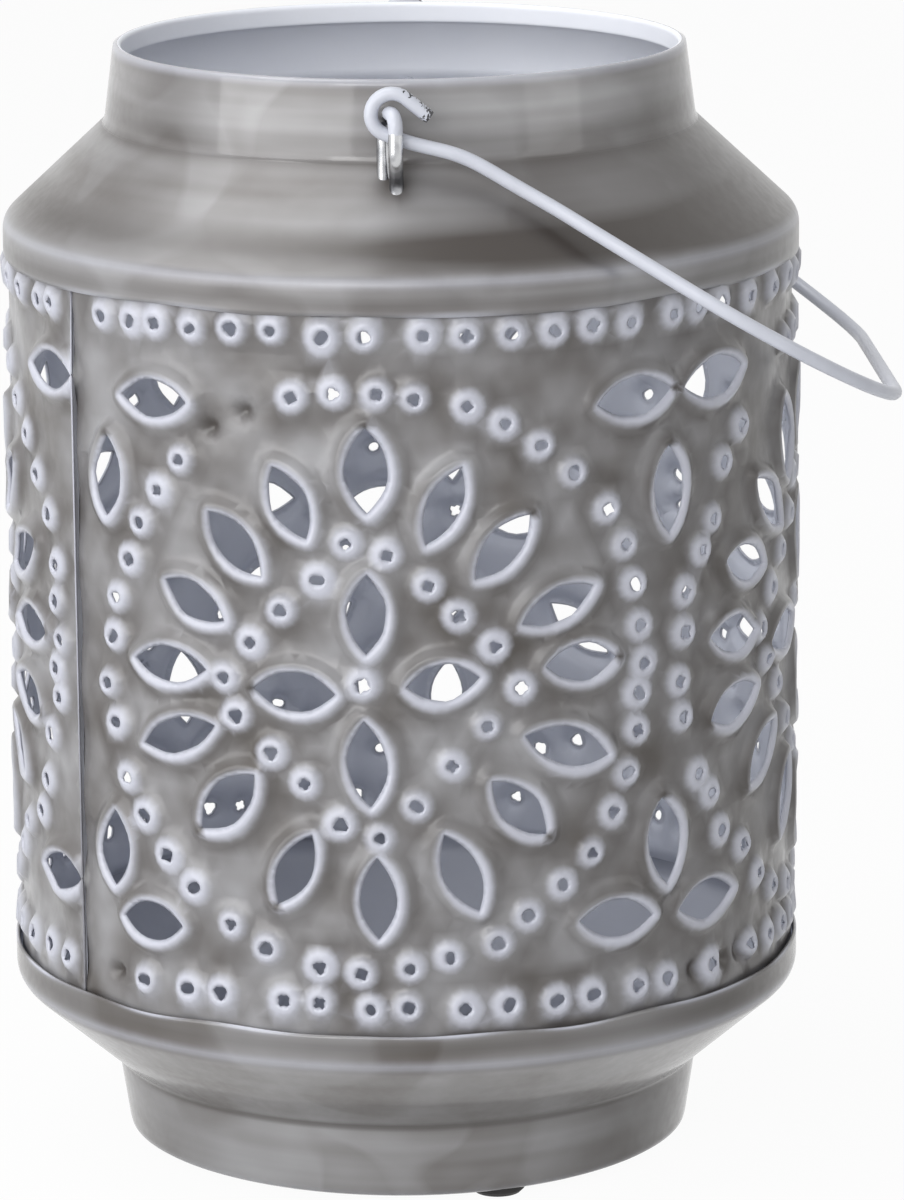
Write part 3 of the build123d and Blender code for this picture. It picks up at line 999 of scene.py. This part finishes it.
    def nails(self) -> Floats:
        """Lays out every nail hole: rosettes, then the two rows, which go on evenly past what was measured.

        Returns:
            Place along and up the sheet, and radius of each.
        """
        rng = np.random.default_rng(23)
        rosette = np.array(self.ring_nails + self.star_nails)
        rows = []
        for panel in range(self.panels):
            loose = 0.0 if panel == 0 else 0.8
            rows.append(rosette + rng.normal(0, loose, rosette.shape) + (panel * self.panel_pitch, 0))
        for measured in (self.top_row, self.bottom_row):
            first, level = measured[-1]
            along = np.arange(first + self.row_pitch, self.end() - 4.0, self.row_pitch)
            row = np.column_stack([along, np.full(len(along), level)])
            rows += [np.array(measured), row + rng.normal(0, 1, row.shape) * (0.7, 0.35)]
        spots = np.vstack(rows)
        return np.column_stack([spots, self.nail * rng.uniform(0.85, 1.2, len(spots))])

    @staticmethod
    def petal_distance(spots: Floats, petals: Floats) -> Floats:
        """Distance of each spot from each petal's edge, negative inside.

        A petal is where two equal discs overlap. With its tip folded into the first quarter, the
        distance is from the tip where the tip is nearest, and otherwise from the disc's edge.

        Args:
            spots: places on the sheet.
            petals: the petals' rows.

        Returns:
            One row for each spot, one column for each petal.
        """
        turn = np.radians(petals[:, 2])
        dx = spots[:, None, 0] - petals[None, :, 0]
        dy = spots[:, None, 1] - petals[None, :, 1]
        along = np.abs(dx * np.cos(turn) + dy * np.sin(turn))
        across = np.abs(dy * np.cos(turn) - dx * np.sin(turn))
        half, wide = petals[:, 3], petals[:, 4]
        offset = (half**2 - wide**2) / (2 * wide)
        tip = (along - half) * offset > across * half
        disc = np.hypot(along, across + offset) - offset - wide
        return np.where(tip, np.hypot(along - half, across), disc)

    def distances(self, spots: Floats, petals: Floats, nails: Floats) -> tuple[Floats, Floats]:
        """Distance of each spot from the nearest petal's edge and from the nearest nail hole's edge.

        Args:
            spots: places on the sheet.
            petals: the petals' rows.
            nails: the nail holes' rows.

        Returns:
            Both distances, negative inside a hole.
        """
        to_petal = self.petal_distance(spots, petals).min(axis=1)
        gap = np.hypot(spots[:, None, 0] - nails[None, :, 0], spots[:, None, 1] - nails[None, :, 1])
        return to_petal, (gap - nails[None, :, 2]).min(axis=1)

    def petal_ring(self, petals: Floats, out: float, count: int) -> Floats:
        """Points round each petal, a distance outside its edge: pointed at the edge, rounder further out.

        The edge itself is a little torn: a wave of a seeded order and phase runs round it and fades
        with the distance.

        Args:
            petals: the petals' rows.
            out: distance outside the edge.
            count: points in a ring.

        Returns:
            Places on the sheet, one ring for each petal.
        """
        rng = np.random.default_rng(31)
        t = np.linspace(0, 2 * np.pi, count, endpoint=False)
        order, phase = rng.integers(3, 8, (len(petals), 1)), rng.uniform(0, 6.3, (len(petals), 1))
        tear = 0.16 * np.exp(-out / 0.6) * np.cos(order * t + phase) * np.abs(np.sin(t))
        half, wide = petals[:, 3:4] + out, petals[:, 4:5] + out + tear
        power = 1.0 + np.exp(-out / 1.5)
        along = half * np.cos(t)
        across = wide * np.sign(np.sin(t)) * np.abs(np.sin(t)) ** power
        turn = np.radians(petals[:, 2:3])
        x = petals[:, 0:1] + along * np.cos(turn) - across * np.sin(turn)
        y = petals[:, 1:2] + along * np.sin(turn) + across * np.cos(turn)
        return np.stack([x, y], axis=-1)

    def nail_ring(self, nails: Floats, out: float, count: int) -> Floats:
        """Points round each nail hole, a distance outside its edge, which is torn into two to four lobes.

        Args:
            nails: the nail holes' rows.
            out: distance outside the edge.
            count: points in a ring.

        Returns:
            Places on the sheet, one ring for each nail hole.
        """
        rng = np.random.default_rng(37)
        t = np.linspace(0, 2 * np.pi, count, endpoint=False) + rng.uniform(0, 6.3, (len(nails), 1))
        lobes, phase = rng.integers(2, 5, (len(nails), 1)), rng.uniform(0, 6.3, (len(nails), 1))
        tear = rng.uniform(0.1, 0.34, (len(nails), 1)) * np.exp(-out / 0.3)
        r = nails[:, 2:3] * (1 + tear * np.cos(lobes * t + phase)) + out
        return np.stack([nails[:, 0:1] + r * np.cos(t), nails[:, 1:2] + r * np.sin(t)], axis=-1)

    def flat_sheet(self, petals: Floats, nails: Floats) -> tuple[Floats, Ints]:
        """Triangles of the flat sheet with its holes cut out.

        Points lie on each hole's torn edge, on rings round it and on an even grid between, and are
        joined by a Delaunay triangulation that keeps the holes' edges.

        Args:
            petals: the petals' rows.
            nails: the nail holes' rows.

        Returns:
            Points along and up the sheet, and triangles among them.
        """
        low, high = (corner.z / MM - self.centre_height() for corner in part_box("punched_wall"))
        bottom, top = low + self.trim, high - self.trim
        left, right = self.seam - self.lap, self.end()
        at_petal, at_nail = self.edge_points
        edges = [self.petal_ring(petals, 0.0, at_petal), self.nail_ring(nails, 0.0, at_nail)]
        by_petal, by_nail, by_dent = self.ring_points
        rings = [self.petal_ring(petals, out, by_petal) for out in self.petal_rings]
        rings += [self.nail_ring(nails, out, by_nail) for out in self.nail_rings]
        pits = np.column_stack([np.array(self.dents), np.full(len(self.dents), 0.1)])
        rings += [self.nail_ring(pits, out, by_dent) for out in self.dent_rings]
        loose = np.vstack([ring.reshape(-1, 2) for ring in rings])
        loose = loose[np.minimum(*self.distances(loose, petals, nails)) > self.ring_room]
        across, up = np.meshgrid(np.arange(left, right, self.grid), np.arange(bottom, top, self.grid))
        across = across + (np.arange(len(up)) % 2)[:, None] * self.grid / 2
        between = np.column_stack([across.ravel(), up.ravel()])
        between = between[np.minimum(*self.distances(between, petals, nails)) > self.grid_room]
        loose = np.vstack([loose, between])
        room = np.abs(loose - ((left + right) / 2, (bottom + top) / 2))
        reach = np.array([right - left, top - bottom]) / 2 - self.edge_room
        loose = loose[np.all(room < reach, axis=1)]
        level, rise = np.arange(left, right, self.border), np.arange(bottom, top, self.border)
        border = [np.column_stack([level, np.full(len(level), end)]) for end in (bottom, top)]
        border += [np.column_stack([np.full(len(rise), end), rise]) for end in (left, right)]
        torn = np.vstack([edge.reshape(-1, 2) for edge in edges])
        spots = np.vstack([torn, loose, *border, [(right, top)]])
        holes = np.arange(edges[0].size // 2).reshape(len(edges[0]), -1).tolist()
        holes += np.arange(edges[0].size // 2, len(torn)).reshape(len(edges[1]), -1).tolist()
        found = delaunay_2d_cdt([Vector(spot) for spot in spots.tolist()], [], holes, 0, 1e-4)
        solid = np.array([not hole for hole in found[5]])
        return np.array([tuple(spot) for spot in found[0]]), np.array(found[2])[solid]

    @staticmethod
    def lip(gaps: Floats, torn: float, crest: float, foot: float) -> Floats:
        """A lip's height over the sheet, from 0 to 1, by the distance from the hole's edge.

        It climbs along a quarter sine wave from its height at the torn edge to 1 at the crest, then
        falls along a smooth step to 0 at the foot.

        Args:
            gaps: distances from the hole's edge.
            torn: height at the torn edge.
            crest: how far out the crest is.
            foot: how far out the lip ends.

        Returns:
            One height for each distance.
        """
        inner = torn + (1 - torn) * np.sin(np.pi / 2 * np.clip(gaps / crest, 0.0, 1.0))
        return np.where(gaps < crest, inner, smoothstep(foot, crest, gaps))

    def centre_height(self) -> float:
        """Height of the rosettes' centres, from the base band's edge."""
        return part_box("base_shell")[1].z / MM + self.rosette_rise

    def waves(self, spots: Floats) -> Floats:
        """The sheet's unevenness, about -2 to 2: two products of sine waves of unlike lengths.

        Args:
            spots: places on the sheet.

        Returns:
            One value for each spot.
        """
        along, up = spots.T
        long_waves = np.sin(along / 5.3) * np.cos(up / 6.1 + along / 17.0)
        return long_waves + np.sin(along / 3.1 + 1.0) * np.sin(up / 3.7)

    def pits(self, spots: Floats) -> Floats:
        """How deep each spot lies in a dent that was struck but not pierced: a bell round its centre.

        Args:
            spots: places on the sheet.

        Returns:
            A share from 0 to 1 for each spot.
        """
        gaps = np.linalg.norm(spots[:, None] - np.array(self.dents)[None], axis=2)
        return bell(gaps.min(axis=1), 0.0, self.dent_radius)

    def tip_shadows(self, spots: Floats, petals: Floats) -> Floats:
        """How near each spot is to a painted shadow just past the tip of some of the petals, where the torn
        sheet folds: a bell.

        Args:
            spots: places on the sheet.
            petals: the petals' rows.

        Returns:
            A share from 0 to 1 for each spot.
        """
        turn, reach = np.radians(petals[:, 2]), petals[:, 3] + 0.7
        tips = petals[:, :2] + np.column_stack([np.cos(turn), np.sin(turn)]) * reach[:, None]
        tips = tips[np.random.default_rng(53).random(len(tips)) < self.shadowed_tip_share]
        gaps = np.linalg.norm(spots[:, None] - tips[None], axis=2)
        return bell(gaps.min(axis=1), 0.0, 1.1)

    def relief(self, spots: Floats, petal_gap: Floats, nail_gap: Floats) -> Floats:
        """How far each spot stands out from the wall's radius.

        Each hole lifts the sheet round it by its lip, and where lips meet, the higher one wins
        smoothly, as the cube root of the sum of their cubes. The sheet lies a little deeper away from
        its edges, and its last stretch climbs over its start, which is sunk, to make the lapped seam.

        Args:
            spots: places on the sheet.
            petal_gap: distances from the nearest petal.
            nail_gap: distances from the nearest nail hole.

        Returns:
            One height for each spot.
        """
        along, up = spots.T
        slow = self.waves(spots)
        petal_lift = self.petal_lift * (1 + 0.12 * slow) * self.lip(petal_gap, *self.petal_lip)
        nail_lift = self.nail_lift * (1 - 0.12 * slow) * self.lip(nail_gap, *self.nail_lip)
        lift = (petal_lift**3 + nail_lift**3) ** (1 / 3)
        lift = lift + self.unevenness * slow * np.exp(-petal_lift - nail_lift)
        from_edge = np.minimum(up - up.min(), up.max() - up)
        layer = self.lap_lift * smoothstep(self.end() - 14.0, self.end() - 5.0, along)
        layer = layer - self.sheet * smoothstep(self.seam, self.seam - 1.4, along)
        rise = lift - self.sink * smoothstep(4.0, 10.0, from_edge) + layer
        return np.minimum(rise - self.dent_depth * self.pits(spots), self.most_lift)

    def wiped(self, spots: Floats, petals: Floats, petal_gap: Floats,
              nail_gap: Floats) -> dict[str, Floats]:
        """The wash's marks on the sheet, with painted highlights and painted shade.

        The wash is wiped off the lips, and in smears above and below the rows. The wiped band is wider on
        each petal's right and lower side than on its left and upper one, a painted highlight on the side
        the light falls on, and the seam's edge is partly wiped and partly a painted highlight. The wash
        collects at the lips' feet, also painting their shade, and painted shade lies in the dents, in the
        folds past some petal tips, beside the seam, where wash also collects, and on the right side.

        Args:
            spots: places on the sheet.
            petals: the petals' rows.
            petal_gap: distances from the nearest petal, negative inside.
            nail_gap: distances from the nearest nail hole, negative inside.

        Returns:
            Two marks from 0 to 1 at each spot: wiped lacquer with its painted highlights, and collected
            wash with its painted shade.
        """
        along, up = spots.T
        slow, tip_shadow = self.waves(spots), self.tip_shadows(spots, petals)
        to_petal, to_nail = np.maximum(petal_gap, 0.0), np.maximum(nail_gap, 0.0)
        # The wider band on each petal's lower right is a painted highlight on its lit inner slope
        step = np.array((0.04, -0.03))
        moved = self.petal_distance(spots + step, petals).min(axis=1)
        lower = np.clip((moved - petal_gap) / np.linalg.norm(step), -1, 1)
        reach, more, nail_reach = self.bare_reach
        nearest = np.minimum(to_petal / (reach + more * lower), to_nail / nail_reach)
        # The seam's edge is partly wiped and partly a painted highlight; painted tip shadows darken lips
        edge = 0.35 - (self.end() - along) / 1.2
        bare_and_highlight = (1 - 0.9 * tip_shadow) * np.clip(np.maximum(1 - nearest + 0.1 * slow, edge), 0, 1)
        smeared = np.maximum(smoothstep(68.0, 70.5, up), smoothstep(-63.5, -66.0, up))
        bare_and_highlight = np.maximum(bare_and_highlight, (0.5 + 0.12 * slow) * smeared * smoothstep(4.6, 1.6, to_nail))
        turned = np.degrees(self.angles(along))
        shaded = smoothstep(14.0, 55.0, turned) * smoothstep(150.0, 100.0, turned)
        # The wash collects at the lips' feet, a ring that also paints their shade
        pool = 0.5 * bell(nearest, 1.35, 0.45) * (0.7 + 0.3 * slow)
        # Painted shade beside the seam, where wash also collects, and on the right side
        pool = pool + 0.4 * (bell(along, self.seam + 2.6, 2.4) + 0.9 * shaded)
        # Painted shade in the dents and past the shadowed petal tips
        pool = pool + 0.9 * np.maximum(self.pits(spots), tip_shadow)
        return {"bare_and_highlight": bare_and_highlight, "pool": np.clip(pool, 0, 1)}

    def angles(self, along: Floats) -> Floats:
        """Angles round the lantern of places along the sheet, in radians."""
        return np.radians(self.rosette_angle) + along / self.radius

    def build(self, wash: bpy.types.Material, lacquer: bpy.types.Material) -> bpy.types.Object:
        """Builds and dresses the wall: the flat sheet rolled up, each spot pushed out by its relief.

        Args:
            wash: the outside's finish.
            lacquer: the inside's finish.

        Returns:
            The finished piece.
        """
        petals, nails = self.petals(), self.nails()
        spots, triangles = self.flat_sheet(petals, nails)
        petal_gap, nail_gap = self.distances(spots, petals, nails)
        rise = self.relief(spots, np.maximum(petal_gap, 0.0), np.maximum(nail_gap, 0.0))
        points = around(self.angles(spots[:, 0]), self.radius + rise, spots[:, 1] + self.centre_height())
        marks = self.wiped(spots, petals, petal_gap, nail_gap)
        piece = new_piece("punched_wall_washed", points, triangles, (wash, lacquer), marks)
        thick = piece.modifiers.new("sheet", "SOLIDIFY")
        thick.thickness = self.sheet * MM
        thick.offset = -1.0
        thick.material_offset = 1
        thick.material_offset_rim = 0
        return settle(piece, Body.LANTERN, Slot.TIN, "punched_wall")


@dataclass
class WireEye:
    """A wire loop through the shoulder that holds one hook of the bail."""

    side: Side
    wire: float = 2.8
    inner_leg: float = 60.4
    outer_leg: float = 66.8
    foot_leg: float = 63.0
    # The shoulder's radius and height at the neck, from the collar's edge, and its slope
    shoulder: tuple[float, float, float] = (58.7, 26.1, 0.927)
    inner_rise: float = 2.2
    waist: float = 8.6
    waist_drop: float = 4.8
    tail: float = 5.0
    spread: float = 1.2
    shift: float = -0.5
    bends: tuple[float, ...] = (1.6, 2.6, 2.6, 4.0, 4.0, 1.6)

    def build(self, steel: bpy.types.Material) -> bpy.types.Object:
        """Builds the loop: up the inner leg, over the bar and down the outer leg, a little aside.

        Paint is left on the bar's outer half and under the shoulder.

        Args:
            steel: the wire's finish.

        Returns:
            The finished piece.
        """
        name = "eye_" + self.side.name.lower()
        low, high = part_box(name)
        sign = float(self.side.value)
        bar = high.z / MM - self.wire / 2 + 0.05
        bottom = low.z / MM + self.wire / 2
        aside = sign * self.spread
        corners = [
            (sign * self.tail, sign * self.inner_leg, bottom + self.inner_rise),
            (aside, sign * self.inner_leg, bottom + self.inner_rise),
            (aside, sign * self.inner_leg, bar),
            (-aside, sign * self.outer_leg, bar),
            (-aside, sign * self.outer_leg, bar - self.waist),
            (-aside, sign * self.foot_leg, bar - self.waist - self.waist_drop),
            (-aside, sign * self.foot_leg, bottom),
            (-sign * self.tail, sign * self.foot_leg, bottom),
        ]
        path = resampled(rounded_line(corners, self.bends), 0.5) + (self.shift, 0.0, 0.0)
        points, faces = wire_tube(path, np.full(len(path), self.wire / 2))
        drop = bar - points[:, 2]
        outward = sign * points[:, 1] - (self.inner_leg + self.outer_leg) / 2
        painted = smoothstep(4.4, 2.6, drop) * smoothstep(-1.0, 1.5, outward)
        neck, rise, slope = self.shoulder
        from_neck = np.hypot(points[:, 0], points[:, 1]) - neck
        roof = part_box("neck_shoulder")[0].z / MM + rise - from_neck * slope
        painted = np.maximum(painted, smoothstep(0.4, 0.9, roof - points[:, 2]))
        piece = new_piece(name + "_wire", points, faces, (steel,), {"chip": 1.0 - 0.95 * painted})
        return settle(piece, Body.LANTERN, Slot.STEEL, name)


@dataclass
class WireBail:
    """The white wire bail: splayed legs, round corners, and an open hook at each end."""

    wire: float = 2.7
    span: float = 63.8
    reach: float = 113.1
    tilt: float = 32.6
    splay: float = 13.0
    corner: float = 38.0
    hook_radius: float = 4.0
    crank: float = 28.0
    crank_bend: float = 80.0
    hook_close: float = 11.0
    hook_tail: float = 6.0
    twist: float = 2.0
    hang: float = 0.4
    bow: float = 1.3

    def path(self) -> Floats:
        """The centreline from the front hook's cut end to the back one's.

        It is drawn flat, by distance out from the hinge, across and under; then each point is turned
        about the hinge by the tilt and by a small twist that grows across the bail, as a bent wire has.
        The hooks hang a little low, and the legs bow upwards near them.

        Returns:
            Points along the wire.
        """
        angle = np.arcsin(self.hook_radius / self.crank)
        first = np.pi / 2 - angle
        last = np.pi * 1.5 + np.radians(self.hook_close)
        spread = self.span + (self.reach - self.crank) * np.tan(np.radians(self.splay))
        touch = (self.hook_radius * np.sin(angle), self.hook_radius * np.cos(angle))
        legs = rounded_line(
            [
                (touch[0], -self.span, touch[1]), (self.crank, -self.span, 0), (self.reach, -spread, 0),
                (self.reach, spread, 0), (self.crank, self.span, 0), (touch[0], self.span, touch[1]),
            ],
            (self.crank_bend, self.corner, self.corner, self.crank_bend),
            24,
        )
        turn = np.linspace(first, last, 30)[1:]
        hook = np.column_stack([np.cos(turn), np.zeros(len(turn)), np.sin(turn)]) * self.hook_radius
        end = hook[-1] + self.hook_tail * np.array([-np.sin(last), 0, np.cos(last)])
        hook = np.vstack([hook, end])
        flat = np.vstack([hook[::-1] - (0, self.span, 0), legs, hook + (0, self.span, 0)])
        flat = resampled(flat, 0.7)
        bend = np.radians(self.tilt) + np.radians(self.twist) * flat[:, 1] / self.span
        hinge = np.array(frame["record"]["behaviour"]["joints"][0]["pos_m"]) / MM
        out, under = flat[:, 0], flat[:, 2]
        x = out * np.cos(bend) - under * np.sin(bend)
        z = -out * np.sin(bend) - under * np.cos(bend) - self.hang * smoothstep(18.0, 4.0, out)
        z += self.bow * bell(out, 16.0, 9.0)
        return np.column_stack([x, flat[:, 1], z]) + hinge

    def build(self, paint: bpy.types.Material) -> bpy.types.Object:
        """Builds the bail: a round wire along its path, its paint chipped at the two cut ends.

        Args:
            paint: the wire's finish.

        Returns:
            The finished piece.
        """
        path = self.path()
        step = np.linalg.norm(np.diff(path, axis=0), axis=1)
        along = np.concatenate([[0.0], np.cumsum(step)])
        from_end = np.minimum(along, along[-1] - along)
        radii = self.wire / 2 * (1.0 - 0.12 * np.exp(-from_end / 0.4))
        points, faces = wire_tube(path, radii)
        rows = np.concatenate([from_end[:1], from_end, from_end[-1:]])
        chip = np.repeat(0.62 * smoothstep(3.2, 0.0, rows), WIRE_SIDES)
        level = np.concatenate([path[:1, 2], path[:, 2], path[-1:, 2]])
        upper = smoothstep(0.1, 0.8, points[:, 2] - np.repeat(level, WIRE_SIDES))
        near_end = np.repeat(smoothstep(9.0, 6.5, rows), WIRE_SIDES)
        chip = np.maximum(chip, 0.47 * upper * near_end)
        piece = new_piece("bail_wire", points, faces, (paint,), {"chip": chip})
        return settle(piece, Body.BAIL, Slot.WIRE, "bail_handle")


# Studio


@dataclass(frozen=True)
class Studio:
    """A white studio: pale floor, soft lamps and the photograph's camera."""

    distance: float = 1219.0
    height: float = 393.8
    azimuth: float = 1.25
    pitch: float = 13.29
    yaw: float = -0.792
    roll: float = -0.405
    focal_pixels: float = 6202.0
    fill: float = 0.32
    floor_half: float = 3000.0
    floor_glow: float = 0.955
    aim: tuple[float, float, float] = (0.0, 0.0, 0.11)
    # Each lamp's name, place, width and height in metres, and brightness
    lamps: tuple[tuple[str, tuple[float, float, float], tuple[float, float], float], ...] = (
        ("left softbox", (-0.764, -0.791, 0.40), (1.12, 0.8), 2.85),
        ("top softbox", (-0.5, -0.1, 1.25), (0.9, 0.8), 3.6),
        ("right softbox", (1.0, -0.5, 0.5), (0.5, 0.8), 1.2),
        ("front softbox", (-0.3, -1.5, 0.85), (0.8, 0.6), 4.0),
    )

    def camera(self) -> None:
        """Places the camera: its axes are built from yaw and pitch, then turned by roll."""
        yaw, pitch, roll = np.radians((self.yaw, self.pitch, self.roll))
        ahead = np.array([np.sin(yaw) * np.cos(pitch), np.cos(yaw) * np.cos(pitch), -np.sin(pitch)])
        level = np.array([np.cos(yaw), -np.sin(yaw), 0.0])
        upright = np.cross(level, ahead)
        right = np.cos(roll) * level + np.sin(roll) * upright
        up = -np.sin(roll) * level + np.cos(roll) * upright
        data = bpy.data.cameras.new("camera")
        data.sensor_fit = "VERTICAL"
        data.sensor_height = 36.0
        data.lens = self.focal_pixels / IMAGE_HEIGHT * data.sensor_height
        camera = bpy.data.objects.new("camera", data)
        turn = Matrix(np.column_stack([right, up, -ahead]).tolist()).to_4x4()
        stand = np.radians(self.azimuth)
        place = np.array([np.sin(stand), -np.cos(stand), 0.0]) * self.distance + (0.0, 0.0, self.height)
        camera.matrix_world = Matrix.Translation(place * MM) @ turn
        bpy.context.scene.collection.objects.link(camera)
        bpy.context.scene.camera = camera

    def softbox(self, name: str, place: tuple[float, float, float], size: tuple[float, float],
                glow: float) -> None:
        """Adds a softbox that faces the lantern's middle.

        Args:
            name: the lamp's name.
            place: where it stands, in metres.
            size: its width and height, in metres.
            glow: its brightness; the power is that times pi times its area.
        """
        data = bpy.data.lights.new(name, "AREA")
        data.shape = "RECTANGLE"
        data.size, data.size_y = size
        data.energy = glow * np.pi * size[0] * size[1]
        lamp = bpy.data.objects.new(name, data)
        turn = (Vector(self.aim) - Vector(place)).to_track_quat("-Z", "Y")
        lamp.matrix_world = Matrix.Translation(place) @ turn.to_matrix().to_4x4()
        bpy.context.scene.collection.objects.link(lamp)

    def white_ray(self, tree: bpy.types.NodeTree) -> bpy.types.NodeSocket:
        """A factor that is 1 where the background is seen straight or in a gloss.

        Args:
            tree: the node tree that needs it.

        Returns:
            The factor's socket.
        """
        path = add_node(tree, "ShaderNodeLightPath")
        rays = {0: path.outputs["Is Camera Ray"], 1: path.outputs["Is Glossy Ray"]}
        return add_node(tree, "ShaderNodeMath", rays, operation="MAXIMUM").outputs[0]

    def build(self) -> None:
        """Sets the view, the world, the floor, the lamps and the camera."""
        scene = bpy.context.scene
        scene.view_settings.view_transform = "Standard"
        world = bpy.data.worlds.new("studio")
        scene.world = world
        world.use_nodes = True
        tree = world.node_tree
        tree.nodes.clear()
        fill = add_node(tree, "ShaderNodeBackground", {"Color": linear("#ffffff"), "Strength": self.fill})
        white = add_node(tree, "ShaderNodeBackground", {"Color": linear("#ffffff"), "Strength": 1.0})
        skies = {0: self.white_ray(tree), 1: fill.outputs[0], 2: white.outputs[0]}
        mixed = add_node(tree, "ShaderNodeMixShader", skies)
        add_node(tree, "ShaderNodeOutputWorld", {"Surface": mixed.outputs[0]})
        self.floor()
        for lamp in self.lamps:
            self.softbox(*lamp)
        self.camera()

    def floor(self) -> None:
        """Lays a pale floor under the feet that looks white to the camera but keeps the soft shadow."""
        material, tree = new_material("pale studio floor")
        pale = add_node(tree, "ShaderNodeBsdfDiffuse", {"Color": linear("#dedede")})
        glow = add_node(tree, "ShaderNodeEmission", {"Color": linear("#ffffff"), "Strength": 1.0})
        seen = {0: self.white_ray(tree), 1: self.floor_glow}
        share = add_node(tree, "ShaderNodeMath", seen, operation="MULTIPLY")
        grounds = {0: share.outputs[0], 1: pale.outputs[0], 2: glow.outputs[0]}
        mixed = add_node(tree, "ShaderNodeMixShader", grounds)
        add_node(tree, "ShaderNodeOutputMaterial", {"Surface": mixed.outputs[0]})
        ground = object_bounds()[0][2] / MM
        square = np.array([(-1, -1), (1, -1), (1, 1), (-1, 1)]) * self.floor_half
        corners = np.column_stack([square, np.full(len(square), ground)])
        floor = new_piece("floor", corners, np.array([[0, 1, 2, 3]]), (material,))
        floor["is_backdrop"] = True


def dress_nodes(lacquer: bpy.types.Material, rubber: bpy.types.Material) -> None:
    """Gives the solids that stay in view, the floor disc and the rubber feet, their finishes.

    Args:
        lacquer: the floor disc's finish.
        rubber: the feet's finish.
    """
    for name, node in frame["nodes"].items():
        finish = lacquer if name == "floor_plate" else rubber if name.startswith("rubber_foot") else None
        if finish is not None:
            node.data.materials.clear()
            node.data.materials.append(finish)
            log.info("%s: solid kept, finish %s", name, finish.name)


def main() -> None:
    """Builds the studio and every sub-assembly in order."""
    logging.basicConfig(level=logging.INFO, format="%(name)s: %(message)s")
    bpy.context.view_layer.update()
    Studio().build()
    shell_wash = WashedTin("grey wash wiped on lacquered tin", gloss=0.3).build()
    base_wash = WashedTin(
        "grey wash wiped on the tin base", smear_share=0.6, shift=37.0, dark="#4d4640",
    ).build()
    neck_wash = WashedTin("grey wash on the tin neck", light="#b2b2b4").build()
    wall_wash = WashedTin(
        "grey wash on punched tin", light="#98989b", dark="#4c4743", smear_share=0.15, blotch=16.0,
        film_share=0.03, lump=5.0, lump_depth=0.3, edge=(0.05, 0.78), ragged=0.14, gloss=0.3,
    ).build()
    lacquer = WhiteLacquer().build()
    # Darker copies of the inside's white lacquer: painted shade behind the wall and in the base
    shaded_lacquer = WhiteLacquer("white lacquer behind the wall with painted shade", "#e1e4ed", "#d5d8e2").build()
    shaded_floor_lacquer = WhiteLacquer("white lacquer in the base with painted shade", "#c2c5cf", "#b6b9c3").build()
    TopShell().build(neck_wash, lacquer, shell_wash)
    BaseShell().build(base_wash, shaded_floor_lacquer)
    PunchedWall().build(wall_wash, shaded_lacquer)
    steel = PaintedSteel("plated steel with paint traces").build()
    for side in Side:
        WireEye(side).build(steel)
    chipped = PaintedSteel(
        "white gloss paint on steel wire", steel="#4a4a4d", tarnish="#2e2e31", metallic=0.3,
    ).build()
    WireBail().build(chipped)
    dress_nodes(shaded_floor_lacquer, BlackRubber().build())


if __name__ == "__main__":
    main()
